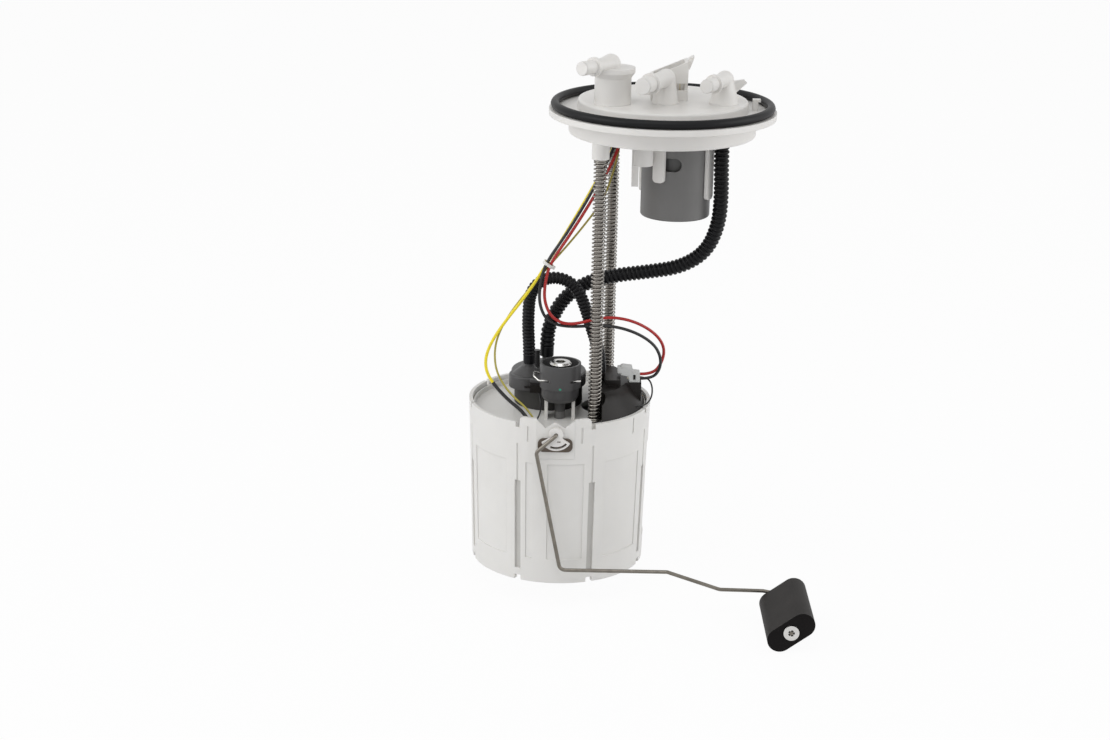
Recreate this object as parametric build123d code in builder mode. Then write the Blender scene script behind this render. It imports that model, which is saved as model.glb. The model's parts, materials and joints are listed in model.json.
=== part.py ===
from build123d import *

import os
from math import atan2, copysign, cos, degrees, pi, radians, sin, tan

# In-tank fuel pump module. Millimetres, Z up. The origin is the centre of the flange's underside,
# on the plane where its rim rests on the tank; the module hangs below it.

# Tank flange
RIM_R = 65.5  # outer radius of the rim that the lock ring clamps
RIM_T = 3.5
SKIRT_R = 54.0  # the skirt centres the flange in the tank's opening
SKIRT_H = 10.5
SKIRT_NOSE_R = 1.4
PLATEAU_R = 49.0
PLATEAU_H = 6.0  # above the rim
PLATEAU_EDGE_R = 1.6
WALL = 3.0
SEAL_R = 62.0  # middle of the seal ring's section
SEAL_D = 5.0
KEY_R = 53.0  # clocking key on the rim
KEY_SIZE = 3.0
KEY_H = 6.7
KEY_HOOK_T = 1.6
UNDER_RIBS = 9
UNDER_RIB = (14.5, 1.8, 3.2)  # length, thickness, height

# Guide rods and their springs
ROD_D = 5.0
ROD_XY = {"front": (-35.7, -33.0), "rear": (-26.9, 33.0)}
ROD_BOSS_R = 5.0
ROD_BOSS_Z = -19.5
ROD_SEAT = 14.0
ROD_END_Z = -188.0
BUSH_R = 4.2
BUSH_FLANGE_R = 5.2
SPRING_OD = 7.9
SPRING_WIRE = 0.95
TRAVEL = 30.0  # how far the pot slides up the rods from its stop
RETAINER_R = 4.2
RETAINER_T = 1.2

# Port heads on the flange: the elbow's place and radius, the height of the spigot's axis, the way
# that it points seen from above, its length from the elbow's axis and its tube radius
PORTS = {
    "return": ((-31.0, -18.5), 5.6, 32.0, -130.0, 25.0, 4.0),
    "vapour": ((0.5, -14.0), 5.5, 23.5, -116.8, 31.0, 4.745),
    "feed": ((34.0, -12.0), 5.2, 23.0, -116.8, 26.0, 3.97),
}
TOWER_BASE_R = {"vapour": 7.6, "feed": 8.6}
SPIGOT_TIP = 9.0  # plain tube ahead of the retaining bead
BEAD_RISE = 1.3
BEAD_W = 2.2
PORT_WALL = 1.4
ELBOW_STEP = 0.2  # the elbow's ball stands this proud of the tower and the spigot's root
SPIGOT_ROOT = 3.5  # how far past the elbow the root tapers down to the tube
RETURN_TOWER_XY = (-29.5, -18.0)
RETURN_TOWER_R = 10.4
RETURN_CAP_Z = 27.5
RETURN_CAP_R = 12.5
RETURN_CAP_T = 2.6
RETURN_CAP_FLARE = 3.0
GUSSET_L = 17.5
GUSSET_T = 2.0
GUSSET_AIM = 43.8  # degrees
PLUG_DEPTH = 5.0
PLUG_CAP_T = 0.8
FEED_STUB_R = 4.4
FEED_STUB_Z = -7.0
BODY_CLEARANCE = 0.3

# Electrical socket on the flange
SOCKET_X = (-7.5, 13.5)
SOCKET_Y = (-7.5, 9.5)
SOCKET_TOP = (23.1, 31.9)  # its mouth slants from left to right
SOCKET_WALL = 1.8
SOCKET_FLOOR_Z = 12.0
SOCKET_SLOT = (5.7, 15.5, 4.0)  # left end, foot and height of the slot at its front right corner
LATCH_W = 7.0
PIN_PITCH = 4.2
PIN_SIZE = (0.8, 2.4)
PIN_Z = (4.5, 20.5)
HARNESS_PLUG_XY = (-25.5, -8.0)
HARNESS_PLUG_SIZE = (11.0, 9.0)
HARNESS_PLUG_CORNER_R = 1.5
HARNESS_PLUG_DROP = 3.2  # its body ends below the flange, and a narrower neck goes up to it
HARNESS_NECK_IN = (3.0, 4.0)
HARNESS_NECK_H = 4.0
HARNESS_PLUG_Z = -8.0

# Fill-limit vent valve
CAN_XY = (9.0, 0.0)
CAN_R = 20.2
CAN_WALL = 1.8
CAN_BOTTOM_Z = -58.5
CAN_TOP_Z = -8.0
CAN_CAP_T = 6.0
CAN_SLOT = (14.5, 7.7)
CAN_SLOT_X = 3.6
CAN_SLOT_Z = -25.3
LEG_ANGLES = (-120.6, -30.6, 59.4, 149.4)
LEG_DROP = (-35.8, -46.7, -35.8, -46.7)
LEG_W = 7.2
LEG_T = 2.2
NECK_SOCKET_WALL = 1.8
DRAIN_XY = (-11.5, -19.5)
DRAIN_R = 6.0
DRAIN_Z = -25.4
DRAIN_BORE_R = 2.0
HARNESS_GUIDE = (3.8, 5.0)
HARNESS_GUIDE_Z = -37.5
FLOAT_TRAVEL = 4.0
VENT_FLOAT_R = 17.4
VENT_FLOAT_Z = (-50.0, -22.0)
VENT_SPRING_R = 7.0
VENT_SPRING_WIRE = 0.7
SEAT_R = 1.6
NECK_R = 3.0  # outlet neck of the valve's cap, and the socket that it enters
NECK_TOP_Z = 7.5
NECK_SOCKET_R = 4.75
NECK_SOCKET_Z = (2.2, 8.0)

# Pot, the reservoir that slides on the rods
POT_X = -56.0
POT_TOP_Z = -171.9
POT_BOTTOM_Z = -271.2
POT_TOP_R = 54.4
POT_BOTTOM_R = 51.9
POT_WALL = 2.2
FOOT_H = 2.7
FOOT_W = 3.0
FOOT_NOTCH = (4.0, 3.0)  # width and height
RIM_NOTCH = (2.6, 3.0)
FLOOR_T = 2.5
DECK_DROP = 5.6
DECK_T = 2.5
DECK_GAP = 0.3
DECK_LIP_H = 3.0
DECK_LIP_T = 1.0
DECK_NOTCH_X = (-75.0, -46.0)
DECK_NOTCH_Y = -45.0
POT_RIB_ANGLES = (25, 100, 172, 236, 302)
GROOVE_ANGLES = (-164.5, -116.5, -68.5, -20.5, 27.5, 79.5, 147.5)
GROOVE_W = 3.8
GROOVE_DEPTH = 1.3
GROOVE_Z = (-264.0, -208.0)
PANELS = (
    (-111.0, 4.5), (-97.0, 23.0), (-60.0, 31.0), (-12.0, 31.0), (36.0, 36.0), (88.0, 50.0), (156.0, 30.0),
    (204.0, 31.0),
)
PANEL_Z = (-256.0, -196.0)
SLIT_ANGLES = (-109.5, -75.8, -36.8)
SLIT_W = 1.1
SLIT_DEPTH = 0.6
SLIT_TOP_Z = -185.0
SHORT_SLIT_Z = (-183.0, -173.5)
COLLAR_ANGLES = (-115.0, -70.0)  # where the rim is raised beside the sender
COLLAR_H = 3.6
COLLAR_CORNER_R = 2.0
VALVE_XY = (-86.0, 22.0)
VALVE_R = 7.0
VALVE_STEM_R = 2.0
VALVE_SLOT_R = 4.6
POT_RIB_W = 2.0  # ribs inside the pot that carry the deck
POT_RIB_D = 3.0
PANEL_DEPTH = 0.5
WINDOW_X = (-69.0, -47.0)
WINDOW_BOTTOM_Z = -192.5
WINDOW_DEPTH = 12.0

# Pump in its sleeve
PUMP_XY = (-28.0, 0.0)
PUMP_R = 18.5
PUMP_BORE_R = 17.3
PUMP_Z = (-247.0, -193.0)
CAP_SPIGOT = 4.0  # how far the moulded ends reach into the shell
OUTLET_CAP_TOP_Z = -184.0
OUTLET_XY = (-32.3, -4.0)
OUTLET_R = 2.6
OUTLET_TOP_Z = -161.5
INLET_CAP_Z = -255.0
INLET_SPOUT_XY = (-33.0, 6.0)
INLET_SPOUT_R = 4.0
SLEEVE_R = 20.3
SLEEVE_WALL = 1.2
SLEEVE_Z = -216.0
ISOLATOR_Z = (-250.0, -200.0)
PUMP_OPENING_R = 15.0
SHAFT_R = 1.6
SHAFT_Z = (-250.5, -189.5)
SHAFT_BEARING_L = 8.0
RUNNING = 0.05  # clearance of running fits, on the radius
CORE_R = 11.0
CORE_Z = (-238.0, -208.0)
CORE_SLOTS = 8
COMMUTATOR_R = 6.0
COMMUTATOR_TOP_Z = -199.0
BRUSH = (5.0, 5.0, 7.0)
MAGNET_R = 12.2
MAGNET_STARTS = (25, 205)  # degrees, and the angle that each arc spans
MAGNET_SPAN = 130
IMPELLER_R = 15.0
IMPELLER_T = 3.7
IMPELLER_VANES = 18
STRAINER_X = (-78.0, -22.0)
STRAINER_W = 34.0
STRAINER_Z = (-266.0, -258.5)
STRAINER_WALL = 1.0
STRAINER_HEM = 4.0  # the welded seam that stays solid round the sock
JET_X = (-82.0, -51.0)
JET_R = 4.0
RISER_R = 3.0

# Pump cover
COVER_TOP_Z = -159.5
COVER_EDGE_Z = -173.0
COVER_R = 50.6
COVER_SHOULDER_R = 43.0
COVER_SHOULDER_Z = -161.5
COVER_TOP_R = 40.0
COVER_WALL = 1.8
COVER_LEFT_X = -37.6
COVER_FRONT_Y = -44.0
COVER_BACK_Y = 23.0
COVER_NOTCH_R = 6.2
COVER_CORNER = (-31.4, -26.8)  # the corner that is left open for the front rod
HEADER_XY = (-24.6, -8.5)
HEADER_SIZE = (8.8, 15.0)
HEADER_TOP_Z = -156.0
SEAT_XY = (-14.2, -5.0)
SEAT_SIZE = (13.0, 10.0)
OUTLET_SOCKET_Z = -167.0
NIPPLE_R = 3.0

# Filter and pressure regulator
FILTER_XY = (-63.0, 9.5)
FILTER_R = 20.5
BOWL_R = 12.2
BOWL_Z = -232.0
FILTER_WALL = 1.6
FILTER_TOP_Z = -161.0
ELEMENT_R = (4.0, 9.6)
ELEMENT_Z = (-230.4, -175.0)
PLEATS = 16
PLEAT_DEPTH = 3.2
PLEAT_W = 1.2
LID_R = 22.5
LID_TOP_Z = -157.5
LID_SKIRT_Z = -165.5
LOBE_XY = (-75.5, 1.0)
LOBE_R = 11.2
LOBE_CONE = (9.0, 3.4, 4.6)  # radius below, radius above, height
LID_NIPPLE_R = 2.8
HOSE_BORE_R = 1.8
PILLAR_XY = (-70.3, 10.0)
PILLAR_TOP_Z = -146.0
CLIP_BLOCK_XY = (-70.2, -12.2)
CLIP_BLOCK_SIZE = (7.2, 6.0)
CLIP_BLOCK_Z = (-165.0, -160.0)
CUP_XY = (-56.0, -22.0)
CUP_R = 12.1
CUP_LOW_R = 11.0
CUP_BORE_R = 10.8
CUP_TOP_Z = -143.5
CUP_BOTTOM_Z = -166.0
CUP_STEP_Z = -158.0
CUP_RIB_X = (-64.0, -48.0)
CUP_RIB_T = 2.0
CUP_RIB_L = 10.0
CUP_FLOOR_Z = -161.5
CUP_SEAL_R = 6.6
SPOUT_XY = (-56.0, -22.5)
SPOUT_R = 3.2
SPOUT_Z = -173.0
REGULATOR_SEAT_Z = -157.0
REGULATOR_FLANGE = (10.4, 3.7)  # radius and height
REGULATOR_R = 6.6
REGULATOR_TOP_Z = -143.0
REGULATOR_NOSE_R = 5.0
REGULATOR_HEX = (3.2, 4.0)  # radius over corners and depth
CLIP_WIRE = 1.1
CLIP_Z = -152.7
CLIP_Y = (-29.2, -14.8)
CLIP_X = (-71.5, -44.0)
CLIP_LIFT = 1.8
CLIP_SLOT = (3.9, 1.3)  # the slots that it enters run out from the wire: depth and height

# Plug of the pump's leads
PLUG_X = (-20.0, -8.5)
PLUG_Y = (-9.0, -1.0)
PLUG_Z = (-159.5, -150.0)
PLUG_TAIL_W = 9.0  # width over its lower end
PLUG_LUG = (-22.0, -154.2, -151.0)  # far X, and the height that it spans
TERMINAL_T = 0.6

# Level sender
SENDER_Y = -POT_TOP_R - 3.6  # plane of the arm's wire, before the pot's front
PIVOT_XZ = (-57.8, -176.6)
ARM_D = 2.2
BEARING_BOSS_R = 3.4
ARM_ROUTE = (  # X, how far it lies behind that plane, and Z
    (PIVOT_XZ[0], 0.0, PIVOT_XZ[1]), (-69.2, 0.0, -186.9), (-54.1, 0.0, -260.1), (8.8, 0.0, -260.1),
    (40.4, 2.0, -271.5), (66.4, 6.0, -273.6), (77.8, 6.0, -275.9),
)
ARM_BENDS = (2.0, 3.0, 4.0, 4.0, 8.0, 8.0, 1.9)
CARRIER_R = 9.6
CARRIER_HUB_R = 4.2
CARRIER_SPAN = (-150.0, -34.0)
CARRIER_Y = (SENDER_Y + ARM_D / 2, SENDER_Y + ARM_D / 2 + 2.0)
CARRIER_WINDOW = (7.3, 8.7, -114.0, 72.0)  # inner and outer radius, start and size of its arc
CARRIER_SLOT = (1.6, -4.2, 2.2, 0.8)  # place from the pivot, length and width
WIPER = (3.2, 7.2, 1.6)  # where it starts and ends along the fan, and its width
PLATE_Y = (CARRIER_Y[1] + 1.3, CARRIER_Y[1] + 3.3)
PLATE_TOP = (
    (-47.0, -168.9), (-52.6, -173.6), (-58.4, -170.2), (-64.1, -173.8), (-69.0, -168.6),
)
BEARING_L = 3.0
CARD_X = (-68.4, -48.2)
CARD_Z = (-187.9, -179.6)
CARD_CORNER_R = 3.4
CARD_T = 0.8
TERMINAL_R = 1.2
TERMINAL_L = 6.0
FLOAT_SECTION = (30.0, 14.5)
FLOAT_TILT = 36.5
FLOAT_XZ = ARM_ROUTE[-1][::2]
FLOAT_Y = (SENDER_Y - 47.0, SENDER_Y + 4.0)
ARM_END_Y = (SENDER_Y + 7.5, FLOAT_Y[0] - 0.8)  # in the bearing, and in the push nut past the float
NUT_GAP = 0.3
NUT_R = 4.5
NUT_T = 0.7

# Tie round the four leads
TIE_AT = (-64.2, -22.6, -84.0)
TIE_INSIDE = (5.0, 5.1)
TIE_CORNER_R = 1.2
TIE_T = 0.6
TIE_W = 1.8
TIE_HEAD = (2.4, 2.8, 0.5)  # width, depth and corner radius

# Cords: thickness, and the points that each was laid through
FEED_HOSE_D = 8.8
CROSSOVER_D = 7.5
WIRE_D = 1.8
TAN_WIRE_D = 1.2
GROUND_D = 1.0
FEED_HOSE = (
    (34.0, -12, -7.0), (34.0, -12, -25.0), (35.0, -11, -44.0), (34.2, -9, -62.3), (27.8, -6, -79.3),
    (13.7, -2, -89.6), (-4.2, 2, -93.8), (-24.7, 5, -97.3), (-41.8, 7.5, -102.5), (-55.8, 8.5, -113.6),
    (-63.3, 7.5, -129.6), (-64.2, 6, -139.2), (-64.2, 6, -148.0),
)
CROSSOVER_HOSE = (
    (-74.8, 0.5, -151.3), (-74.8, 0.5, -141.5), (-75.6, -0.8, -129.5), (-75.5, -2.0, -118.0),
    (-74.8, -3.0, -108.5), (-71.2, -3.8, -101.4), (-64.8, -4.6, -97.2), (-57.3, -5.5, -96.6),
    (-50.3, -6.4, -99.5), (-45.5, -7.0, -105.4), (-41.8, -7.0, -114.6), (-38.3, -6.4, -126.0),
    (-34.6, -5.0, -137.5), (-32.3, -4.0, -147.0), (-32.3, -4.0, -154.0),
)
YELLOW_WIRE = (
    (-26.8, -6.7, -8.0), (-26.8, -6.7, -15.0), (-31.0, -12.0, -24.0), (-40.4, -18.8, -41.0),
    (-53.2, -21.0, -63.7), (-65.0, -21.6, -84.1), (-75.7, -23.2, -101.4), (-88.6, -26, -117.8),
    (-97.0, -30, -130.1), (-100.2, -33, -140.1), (-98.0, -36, -148.9), (-87.8, -39.5, -160.2),
    (-76.2, -42, -168.6), (-72.0, -44.0, -175.5),
)
TAN_WIRE = (
    (-24.2, -6.7, -8.0), (-24.2, -6.7, -16.0), (-26.4, -9.6, -27.0), (-32.6, -15.8, -46.5),
    (-48.0, -19.4, -67.0), (-63.2, -21.4, -84.8), (-75.0, -20.0, -99.5), (-86.0, -22.6, -113.7),
    (-92.9, -26.5, -126.0), (-94.8, -30.5, -136.4), (-93.0, -34, -147.6), (-85.0, -38, -158.6),
    (-74.0, -40.6, -166.9), (-68.6, -43.6, -175.5),
)
RED_WIRE = (
    (-24.2, -9.3, -8.0), (-24.2, -9.3, -15.5), (-28.4, -14.0, -25.0), (-38.0, -20.6, -43.0),
    (-51.6, -23.6, -65.5), (-63.2, -23.8, -83.3), (-65.9, -23.6, -94.6), (-66.3, -22.6, -106.4),
    (-61.6, -21.4, -117.0), (-51.0, -20.4, -121.6), (-31.1, -18, -116.2), (-14.6, -14, -119.2),
    (-0.6, -9, -128.1), (5.7, -6, -137.9), (4.6, -4.5, -147.8), (-0.8, -5, -155.2), (-8.5, -5, -155.2),
)
BLACK_WIRE = (
    (-26.8, -9.3, -8.0), (-26.8, -9.3, -15.0), (-31.2, -14.4, -24.4), (-40.4, -21.0, -42.4),
    (-54.2, -23.7, -66.0), (-65.7, -24.0, -83.0), (-68.8, -23.6, -95.3), (-69.2, -22.6, -108.4),
    (-64.2, -20.4, -119.4), (-52.0, -17.6, -123.4), (-31.0, -17.2, -121.4), (-14.4, -15, -125.3),
    (-1.4, -12, -133.7), (3.4, -10, -142.8), (3.2, -8.0, -151.4), (-1.4, -5, -158.0), (-8.5, -5, -158.0),
)
FILTER_GROUND = (
    (-68.4, -13.5, -165.0), (-67.4, -14.4, -169.6), (-67.0, -19.5, -172.8), (-67.6, -26.5, -174.2),
    (-69.4, -33.8, -175.4), (-71.4, -40.6, -178.0),
)
PLUG_GROUND = (
    (-8.5, -2.2, -158.0), (-3.5, -2.4, -158.2), (-0.8, -5.5, -162.5), (-1.2, -11.0, -168.0),
    (-5.5, -17.0, -171.6), (-12.0, -19.5, -170.5),
)

# Worked out from the sizes above
PLATEAU_Z = RIM_T + PLATEAU_H
CEILING_Z = PLATEAU_Z - WALL
SPRING_TOP_Z = ROD_BOSS_Z
DECK_Z = POT_TOP_Z - DECK_DROP
DECK_UNDER_Z = DECK_Z - DECK_T
BUSH_FLANGE_T = 1.5
SPRING_FOOT_Z = DECK_Z + BUSH_FLANGE_T
BUSH_LOW_Z = DECK_UNDER_Z - 4.0
FLOOR_TOP_Z = POT_BOTTOM_Z + FOOT_H + FLOOR_T
POT_AXIS = Axis((POT_X, 0, 0), (0, 0, 1))
POT_LEAN = degrees(atan2(POT_TOP_R - POT_BOTTOM_R, POT_TOP_Z - POT_BOTTOM_Z))
UPRIGHT = (Align.CENTER, Align.CENTER, Align.MIN)
HANGING = (Align.CENTER, Align.CENTER, Align.MAX)


def pot_radius(z):
    """Outer radius of the pot's tapered wall at a height."""
    return POT_BOTTOM_R + (POT_TOP_R - POT_BOTTOM_R) * (z - POT_BOTTOM_Z) / (POT_TOP_Z - POT_BOTTOM_Z)


def pot_plane(angle):
    """Upright plane through the pot's axis: X runs outwards at the angle, Y runs up."""
    a = radians(angle)
    return Plane(origin=(POT_X, 0, 0), x_dir=(cos(a), sin(a), 0), z_dir=(sin(a), -cos(a), 0))


def on_pot(angle, radius, z, lean=0.0):
    """A place at an angle and radius round the pot's axis, with X outwards."""
    return Location((POT_X, 0, 0), (0, 0, angle)) * Location((radius, 0, z), (0, lean, 0))


def turned(x):
    """Upright plane through an axis at (x[0], x[1]), for profiles that are revolved about it."""
    return Plane(origin=(x[0], x[1], 0), x_dir=(1, 0, 0), z_dir=(0, -1, 0))


def upright_axis(x):
    return Axis((x[0], x[1], 0), (0, 0, 1))


os.makedirs("parts", exist_ok=True)

# ---------------------------------------------------------------- flange group

vapour_xy, feed_xy = PORTS["vapour"][0], PORTS["feed"][0]
socket_mid = ((SOCKET_X[0] + SOCKET_X[1]) / 2, (SOCKET_Y[0] + SOCKET_Y[1]) / 2)

with BuildPart() as flange:
    # Rim, skirt and plateau are one moulded wall, turned about the axis
    with BuildSketch(Plane.XZ):
        with BuildLine():
            Polyline(
                (0, PLATEAU_Z), (PLATEAU_R, PLATEAU_Z), (PLATEAU_R, RIM_T), (RIM_R, RIM_T), (RIM_R, 0),
                (SKIRT_R, 0), (SKIRT_R, -SKIRT_H), (SKIRT_R - WALL, -SKIRT_H), (SKIRT_R - WALL, RIM_T - WALL),
                (PLATEAU_R - WALL, RIM_T - WALL), (PLATEAU_R - WALL, CEILING_Z), (0, CEILING_Z), close=True,
            )
        wall_profile = make_face()
        fillet(wall_profile.vertices().group_by(Axis.Y)[0], radius=SKIRT_NOSE_R)
    revolve(axis=Axis.Z)
    fillet(flange.edges().filter_by(GeomType.CIRCLE).group_by(Axis.Z)[-1], radius=PLATEAU_EDGE_R)

    # Ribs that stiffen the plateau from below, out to its wall
    with PolarLocations(PLATEAU_R - WALL + 0.5 - UNDER_RIB[0] / 2, UNDER_RIBS, start_angle=23):
        with Locations((0, 0, CEILING_Z)):
            Box(*UNDER_RIB, align=HANGING)

    # Bosses that hold the guide rods, the feed hose's stub and the vapour neck's socket
    for x, y in ROD_XY.values():
        with Locations((x, y, ROD_BOSS_Z)):
            Cylinder(ROD_BOSS_R, RIM_T - ROD_BOSS_Z, align=UPRIGHT)
    with Locations((*feed_xy, FEED_STUB_Z)):
        Cylinder(FEED_STUB_R, CEILING_Z - FEED_STUB_Z, align=UPRIGHT)

    # Electrical socket, its side profile slanting up to the latch
    with BuildSketch(Plane.XZ.offset(-SOCKET_Y[1])):
        with BuildLine():
            Polyline(
                (SOCKET_X[0], PLATEAU_Z - 1), (SOCKET_X[1], PLATEAU_Z - 1), (SOCKET_X[1], SOCKET_TOP[1]),
                (SOCKET_X[0], SOCKET_TOP[0]), close=True,
            )
        make_face()
    extrude(amount=SOCKET_Y[1] - SOCKET_Y[0])
    with BuildSketch(Plane.XZ.offset(-socket_mid[1])):
        with BuildLine():
            Polyline(
                (SOCKET_X[1] - 1, SOCKET_TOP[1] - 5), (SOCKET_X[1] + 1, SOCKET_TOP[1] - 5),
                (SOCKET_X[1] + 3, SOCKET_TOP[1] + 0.5), (SOCKET_X[1] + 3.4, SOCKET_TOP[1] + 2.4),
                (SOCKET_X[1] + 1.4, SOCKET_TOP[1] + 1.6), (SOCKET_X[1] - 1, SOCKET_TOP[1] - 0.6), close=True,
            )
        make_face()
    extrude(amount=LATCH_W / 2, both=True)

    # Clocking key on the rim, hooked outwards
    with Locations((KEY_R, 0, RIM_T)):
        Box(KEY_SIZE, KEY_SIZE + 1, KEY_H, align=UPRIGHT)
    with Locations((KEY_R + KEY_SIZE / 2, 0, RIM_T + KEY_H)):
        Box(KEY_SIZE, KEY_SIZE + 1, KEY_HOOK_T, align=HANGING)

    # Bores: rod seats, port passages, the socket, its pin slots and its side slot
    for x, y in ROD_XY.values():
        with Locations((x, y, ROD_BOSS_Z)):
            Cylinder(ROD_D / 2, ROD_SEAT, align=UPRIGHT, mode=Mode.SUBTRACT)
    for (x, y), elbow_r, axis_z, aim, reach, tube_r in PORTS.values():
        with Locations((x, y, FEED_STUB_Z)):
            Cylinder(tube_r - PORT_WALL, PLATEAU_Z - FEED_STUB_Z, align=UPRIGHT, mode=Mode.SUBTRACT)
    with Locations((*vapour_xy, CEILING_Z)):
        Cylinder(NECK_SOCKET_R, NECK_SOCKET_Z[1] - CEILING_Z, align=UPRIGHT, mode=Mode.SUBTRACT)
    with Locations((*socket_mid, SOCKET_FLOOR_Z)):
        Box(
            SOCKET_X[1] - SOCKET_X[0] - 2 * SOCKET_WALL, SOCKET_Y[1] - SOCKET_Y[0] - 2 * SOCKET_WALL,
            SOCKET_TOP[1] - SOCKET_FLOOR_Z + 5, align=UPRIGHT, mode=Mode.SUBTRACT,
        )
    with Locations((*socket_mid, PIN_Z[0])):
        with GridLocations(PIN_PITCH, 0, 4, 1):
            Box(*PIN_SIZE, PIN_Z[1] - PIN_Z[0], align=UPRIGHT, mode=Mode.SUBTRACT)
    with Locations((SOCKET_SLOT[0], SOCKET_Y[0], SOCKET_SLOT[1])):
        Box(
            SOCKET_X[1] - SOCKET_SLOT[0], SOCKET_WALL, SOCKET_SLOT[2],
            align=Align.MIN, mode=Mode.SUBTRACT,
        )
flange.part.label = "flange"
export_step(flange.part, "parts/flange.step")

# Port heads welded on the plateau: hollow towers, each with an elbow and a quick-connect spigot
with BuildPart() as flange_ports:
    for name, ((x, y), elbow_r, axis_z, aim, reach, tube_r) in PORTS.items():
        if name in TOWER_BASE_R:
            with Locations((x, y, PLATEAU_Z)):
                Cone(TOWER_BASE_R[name], elbow_r - ELBOW_STEP, axis_z - PLATEAU_Z, align=UPRIGHT)
        with Locations((x, y, axis_z)):
            Sphere(elbow_r)
        spigot = Plane(origin=(x, y, axis_z), z_dir=(cos(radians(aim)), sin(radians(aim)), 0))
        with Locations(spigot):
            Cylinder(tube_r, reach, align=UPRIGHT)
            Cone(elbow_r - ELBOW_STEP, tube_r, elbow_r + SPIGOT_ROOT, align=UPRIGHT)
        with Locations(spigot.offset(reach - SPIGOT_TIP - BEAD_W)):
            Cylinder(tube_r + BEAD_RISE, BEAD_W, align=UPRIGHT)

    # The return port's elbow stands on a round valve tower with a flared cap
    return_xy, return_elbow_r, return_axis_z = PORTS["return"][:3]
    with Locations((*RETURN_TOWER_XY, PLATEAU_Z)):
        Cylinder(RETURN_TOWER_R, RETURN_CAP_Z - PLATEAU_Z, align=UPRIGHT)
    with Locations((*RETURN_TOWER_XY, RETURN_CAP_Z)):
        Cone(RETURN_TOWER_R, RETURN_CAP_R, RETURN_CAP_FLARE, align=HANGING)
        Cylinder(RETURN_CAP_R, RETURN_CAP_T, align=UPRIGHT)
    with Locations((*return_xy, RETURN_CAP_Z)):
        Cylinder(return_elbow_r - ELBOW_STEP, return_axis_z - RETURN_CAP_Z, align=UPRIGHT)

    # Gusset that runs back from the feed tower
    with BuildSketch(Plane(origin=(*feed_xy, PLATEAU_Z)).rotated((90, 0, GUSSET_AIM))):
        with BuildLine():
            Polyline((0, 0), (GUSSET_L, 0), (GUSSET_L, 2.5), (5, 11), (0, 11), close=True)
        make_face()
    extrude(amount=GUSSET_T / 2, both=True)

    # The vapour tower stands flat against the socket, and every head is bored through
    with Locations((*socket_mid, PLATEAU_Z)):
        Box(
            SOCKET_X[1] - SOCKET_X[0], SOCKET_Y[1] - SOCKET_Y[0], SOCKET_TOP[1] - PLATEAU_Z,
            align=UPRIGHT, mode=Mode.SUBTRACT,
        )
    for (x, y), elbow_r, axis_z, aim, reach, tube_r in PORTS.values():
        with Locations((x, y, PLATEAU_Z)):
            Cylinder(tube_r - PORT_WALL, axis_z - PLATEAU_Z, align=UPRIGHT, mode=Mode.SUBTRACT)
        with Locations(Plane(origin=(x, y, axis_z), z_dir=(cos(radians(aim)), sin(radians(aim)), 0))):
            Cylinder(tube_r - PORT_WALL, reach, align=UPRIGHT, mode=Mode.SUBTRACT)
flange_ports.part.label = "flange_ports"
export_step(flange_ports.part, "parts/flange_ports.step")

# Under the plateau: snap legs that hold the vent valve, the socket of its vapour neck, and the
# drain boss with the harness guide beside it
with BuildPart() as valve_cage:
    for angle, drop in zip(LEG_ANGLES, LEG_DROP):
        with Locations(Location((*CAN_XY, 0), (0, 0, angle)) * Location((CAN_R + LEG_T / 2, 0, drop))):
            Box(LEG_T, LEG_W, CEILING_Z - drop, align=UPRIGHT)
    leg_tips = [e for e in valve_cage.edges() if e.length < LEG_T + 0.1 and e.center().Z < DRAIN_Z]
    fillet(leg_tips, radius=LEG_W / 3)
    with Locations((*vapour_xy, NECK_SOCKET_Z[0])):
        Cylinder(NECK_SOCKET_R + NECK_SOCKET_WALL, CEILING_Z - NECK_SOCKET_Z[0], align=UPRIGHT)
        Cylinder(NECK_SOCKET_R, CEILING_Z - NECK_SOCKET_Z[0], align=UPRIGHT, mode=Mode.SUBTRACT)
    with Locations((*DRAIN_XY, DRAIN_Z)):
        Cylinder(DRAIN_R, CEILING_Z - DRAIN_Z, align=UPRIGHT)
    with Locations((DRAIN_XY[0] - DRAIN_R, DRAIN_XY[1], HARNESS_GUIDE_Z)):
        Box(*HARNESS_GUIDE, CEILING_Z - HARNESS_GUIDE_Z, align=(Align.MIN, Align.CENTER, Align.MIN))
    with Locations((*DRAIN_XY, DRAIN_Z)):
        Cylinder(DRAIN_BORE_R, CEILING_Z - DRAIN_Z, align=UPRIGHT, mode=Mode.SUBTRACT)
valve_cage.part.label = "valve_cage"
export_step(valve_cage.part, "parts/valve_cage.step")

# Face seal that lies on the rim
with BuildPart() as flange_seal:
    with Locations((0, 0, RIM_T + SEAL_D / 2)):
        Torus(SEAL_R, SEAL_D / 2)
flange_seal.part.label = "flange_seal"
export_step(flange_seal.part, "parts/flange_seal.step")

# Four blade contacts moulded through the socket's floor
with BuildPart() as connector_pins:
    with Locations((*socket_mid, PIN_Z[0])):
        with GridLocations(PIN_PITCH, 0, 4, 1):
            Box(*PIN_SIZE, PIN_Z[1] - PIN_Z[0], align=UPRIGHT)
connector_pins.part.label = "connector_pins"
export_step(connector_pins.part, "parts/connector_pins.step")

# Plugs that close the spigots until the lines are pushed on
with BuildPart() as port_plugs:
    for (x, y), elbow_r, axis_z, aim, reach, tube_r in PORTS.values():
        spigot = Plane(origin=(x, y, axis_z), z_dir=(cos(radians(aim)), sin(radians(aim)), 0))
        with Locations(spigot.offset(reach)):
            Cylinder(tube_r - PORT_WALL, PLUG_DEPTH, align=HANGING)
            Cylinder(tube_r - PORT_WALL / 8, PLUG_CAP_T, align=UPRIGHT)
port_plugs.part.label = "port_plugs"
export_step(port_plugs.part, "parts/port_plugs.step")

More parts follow.
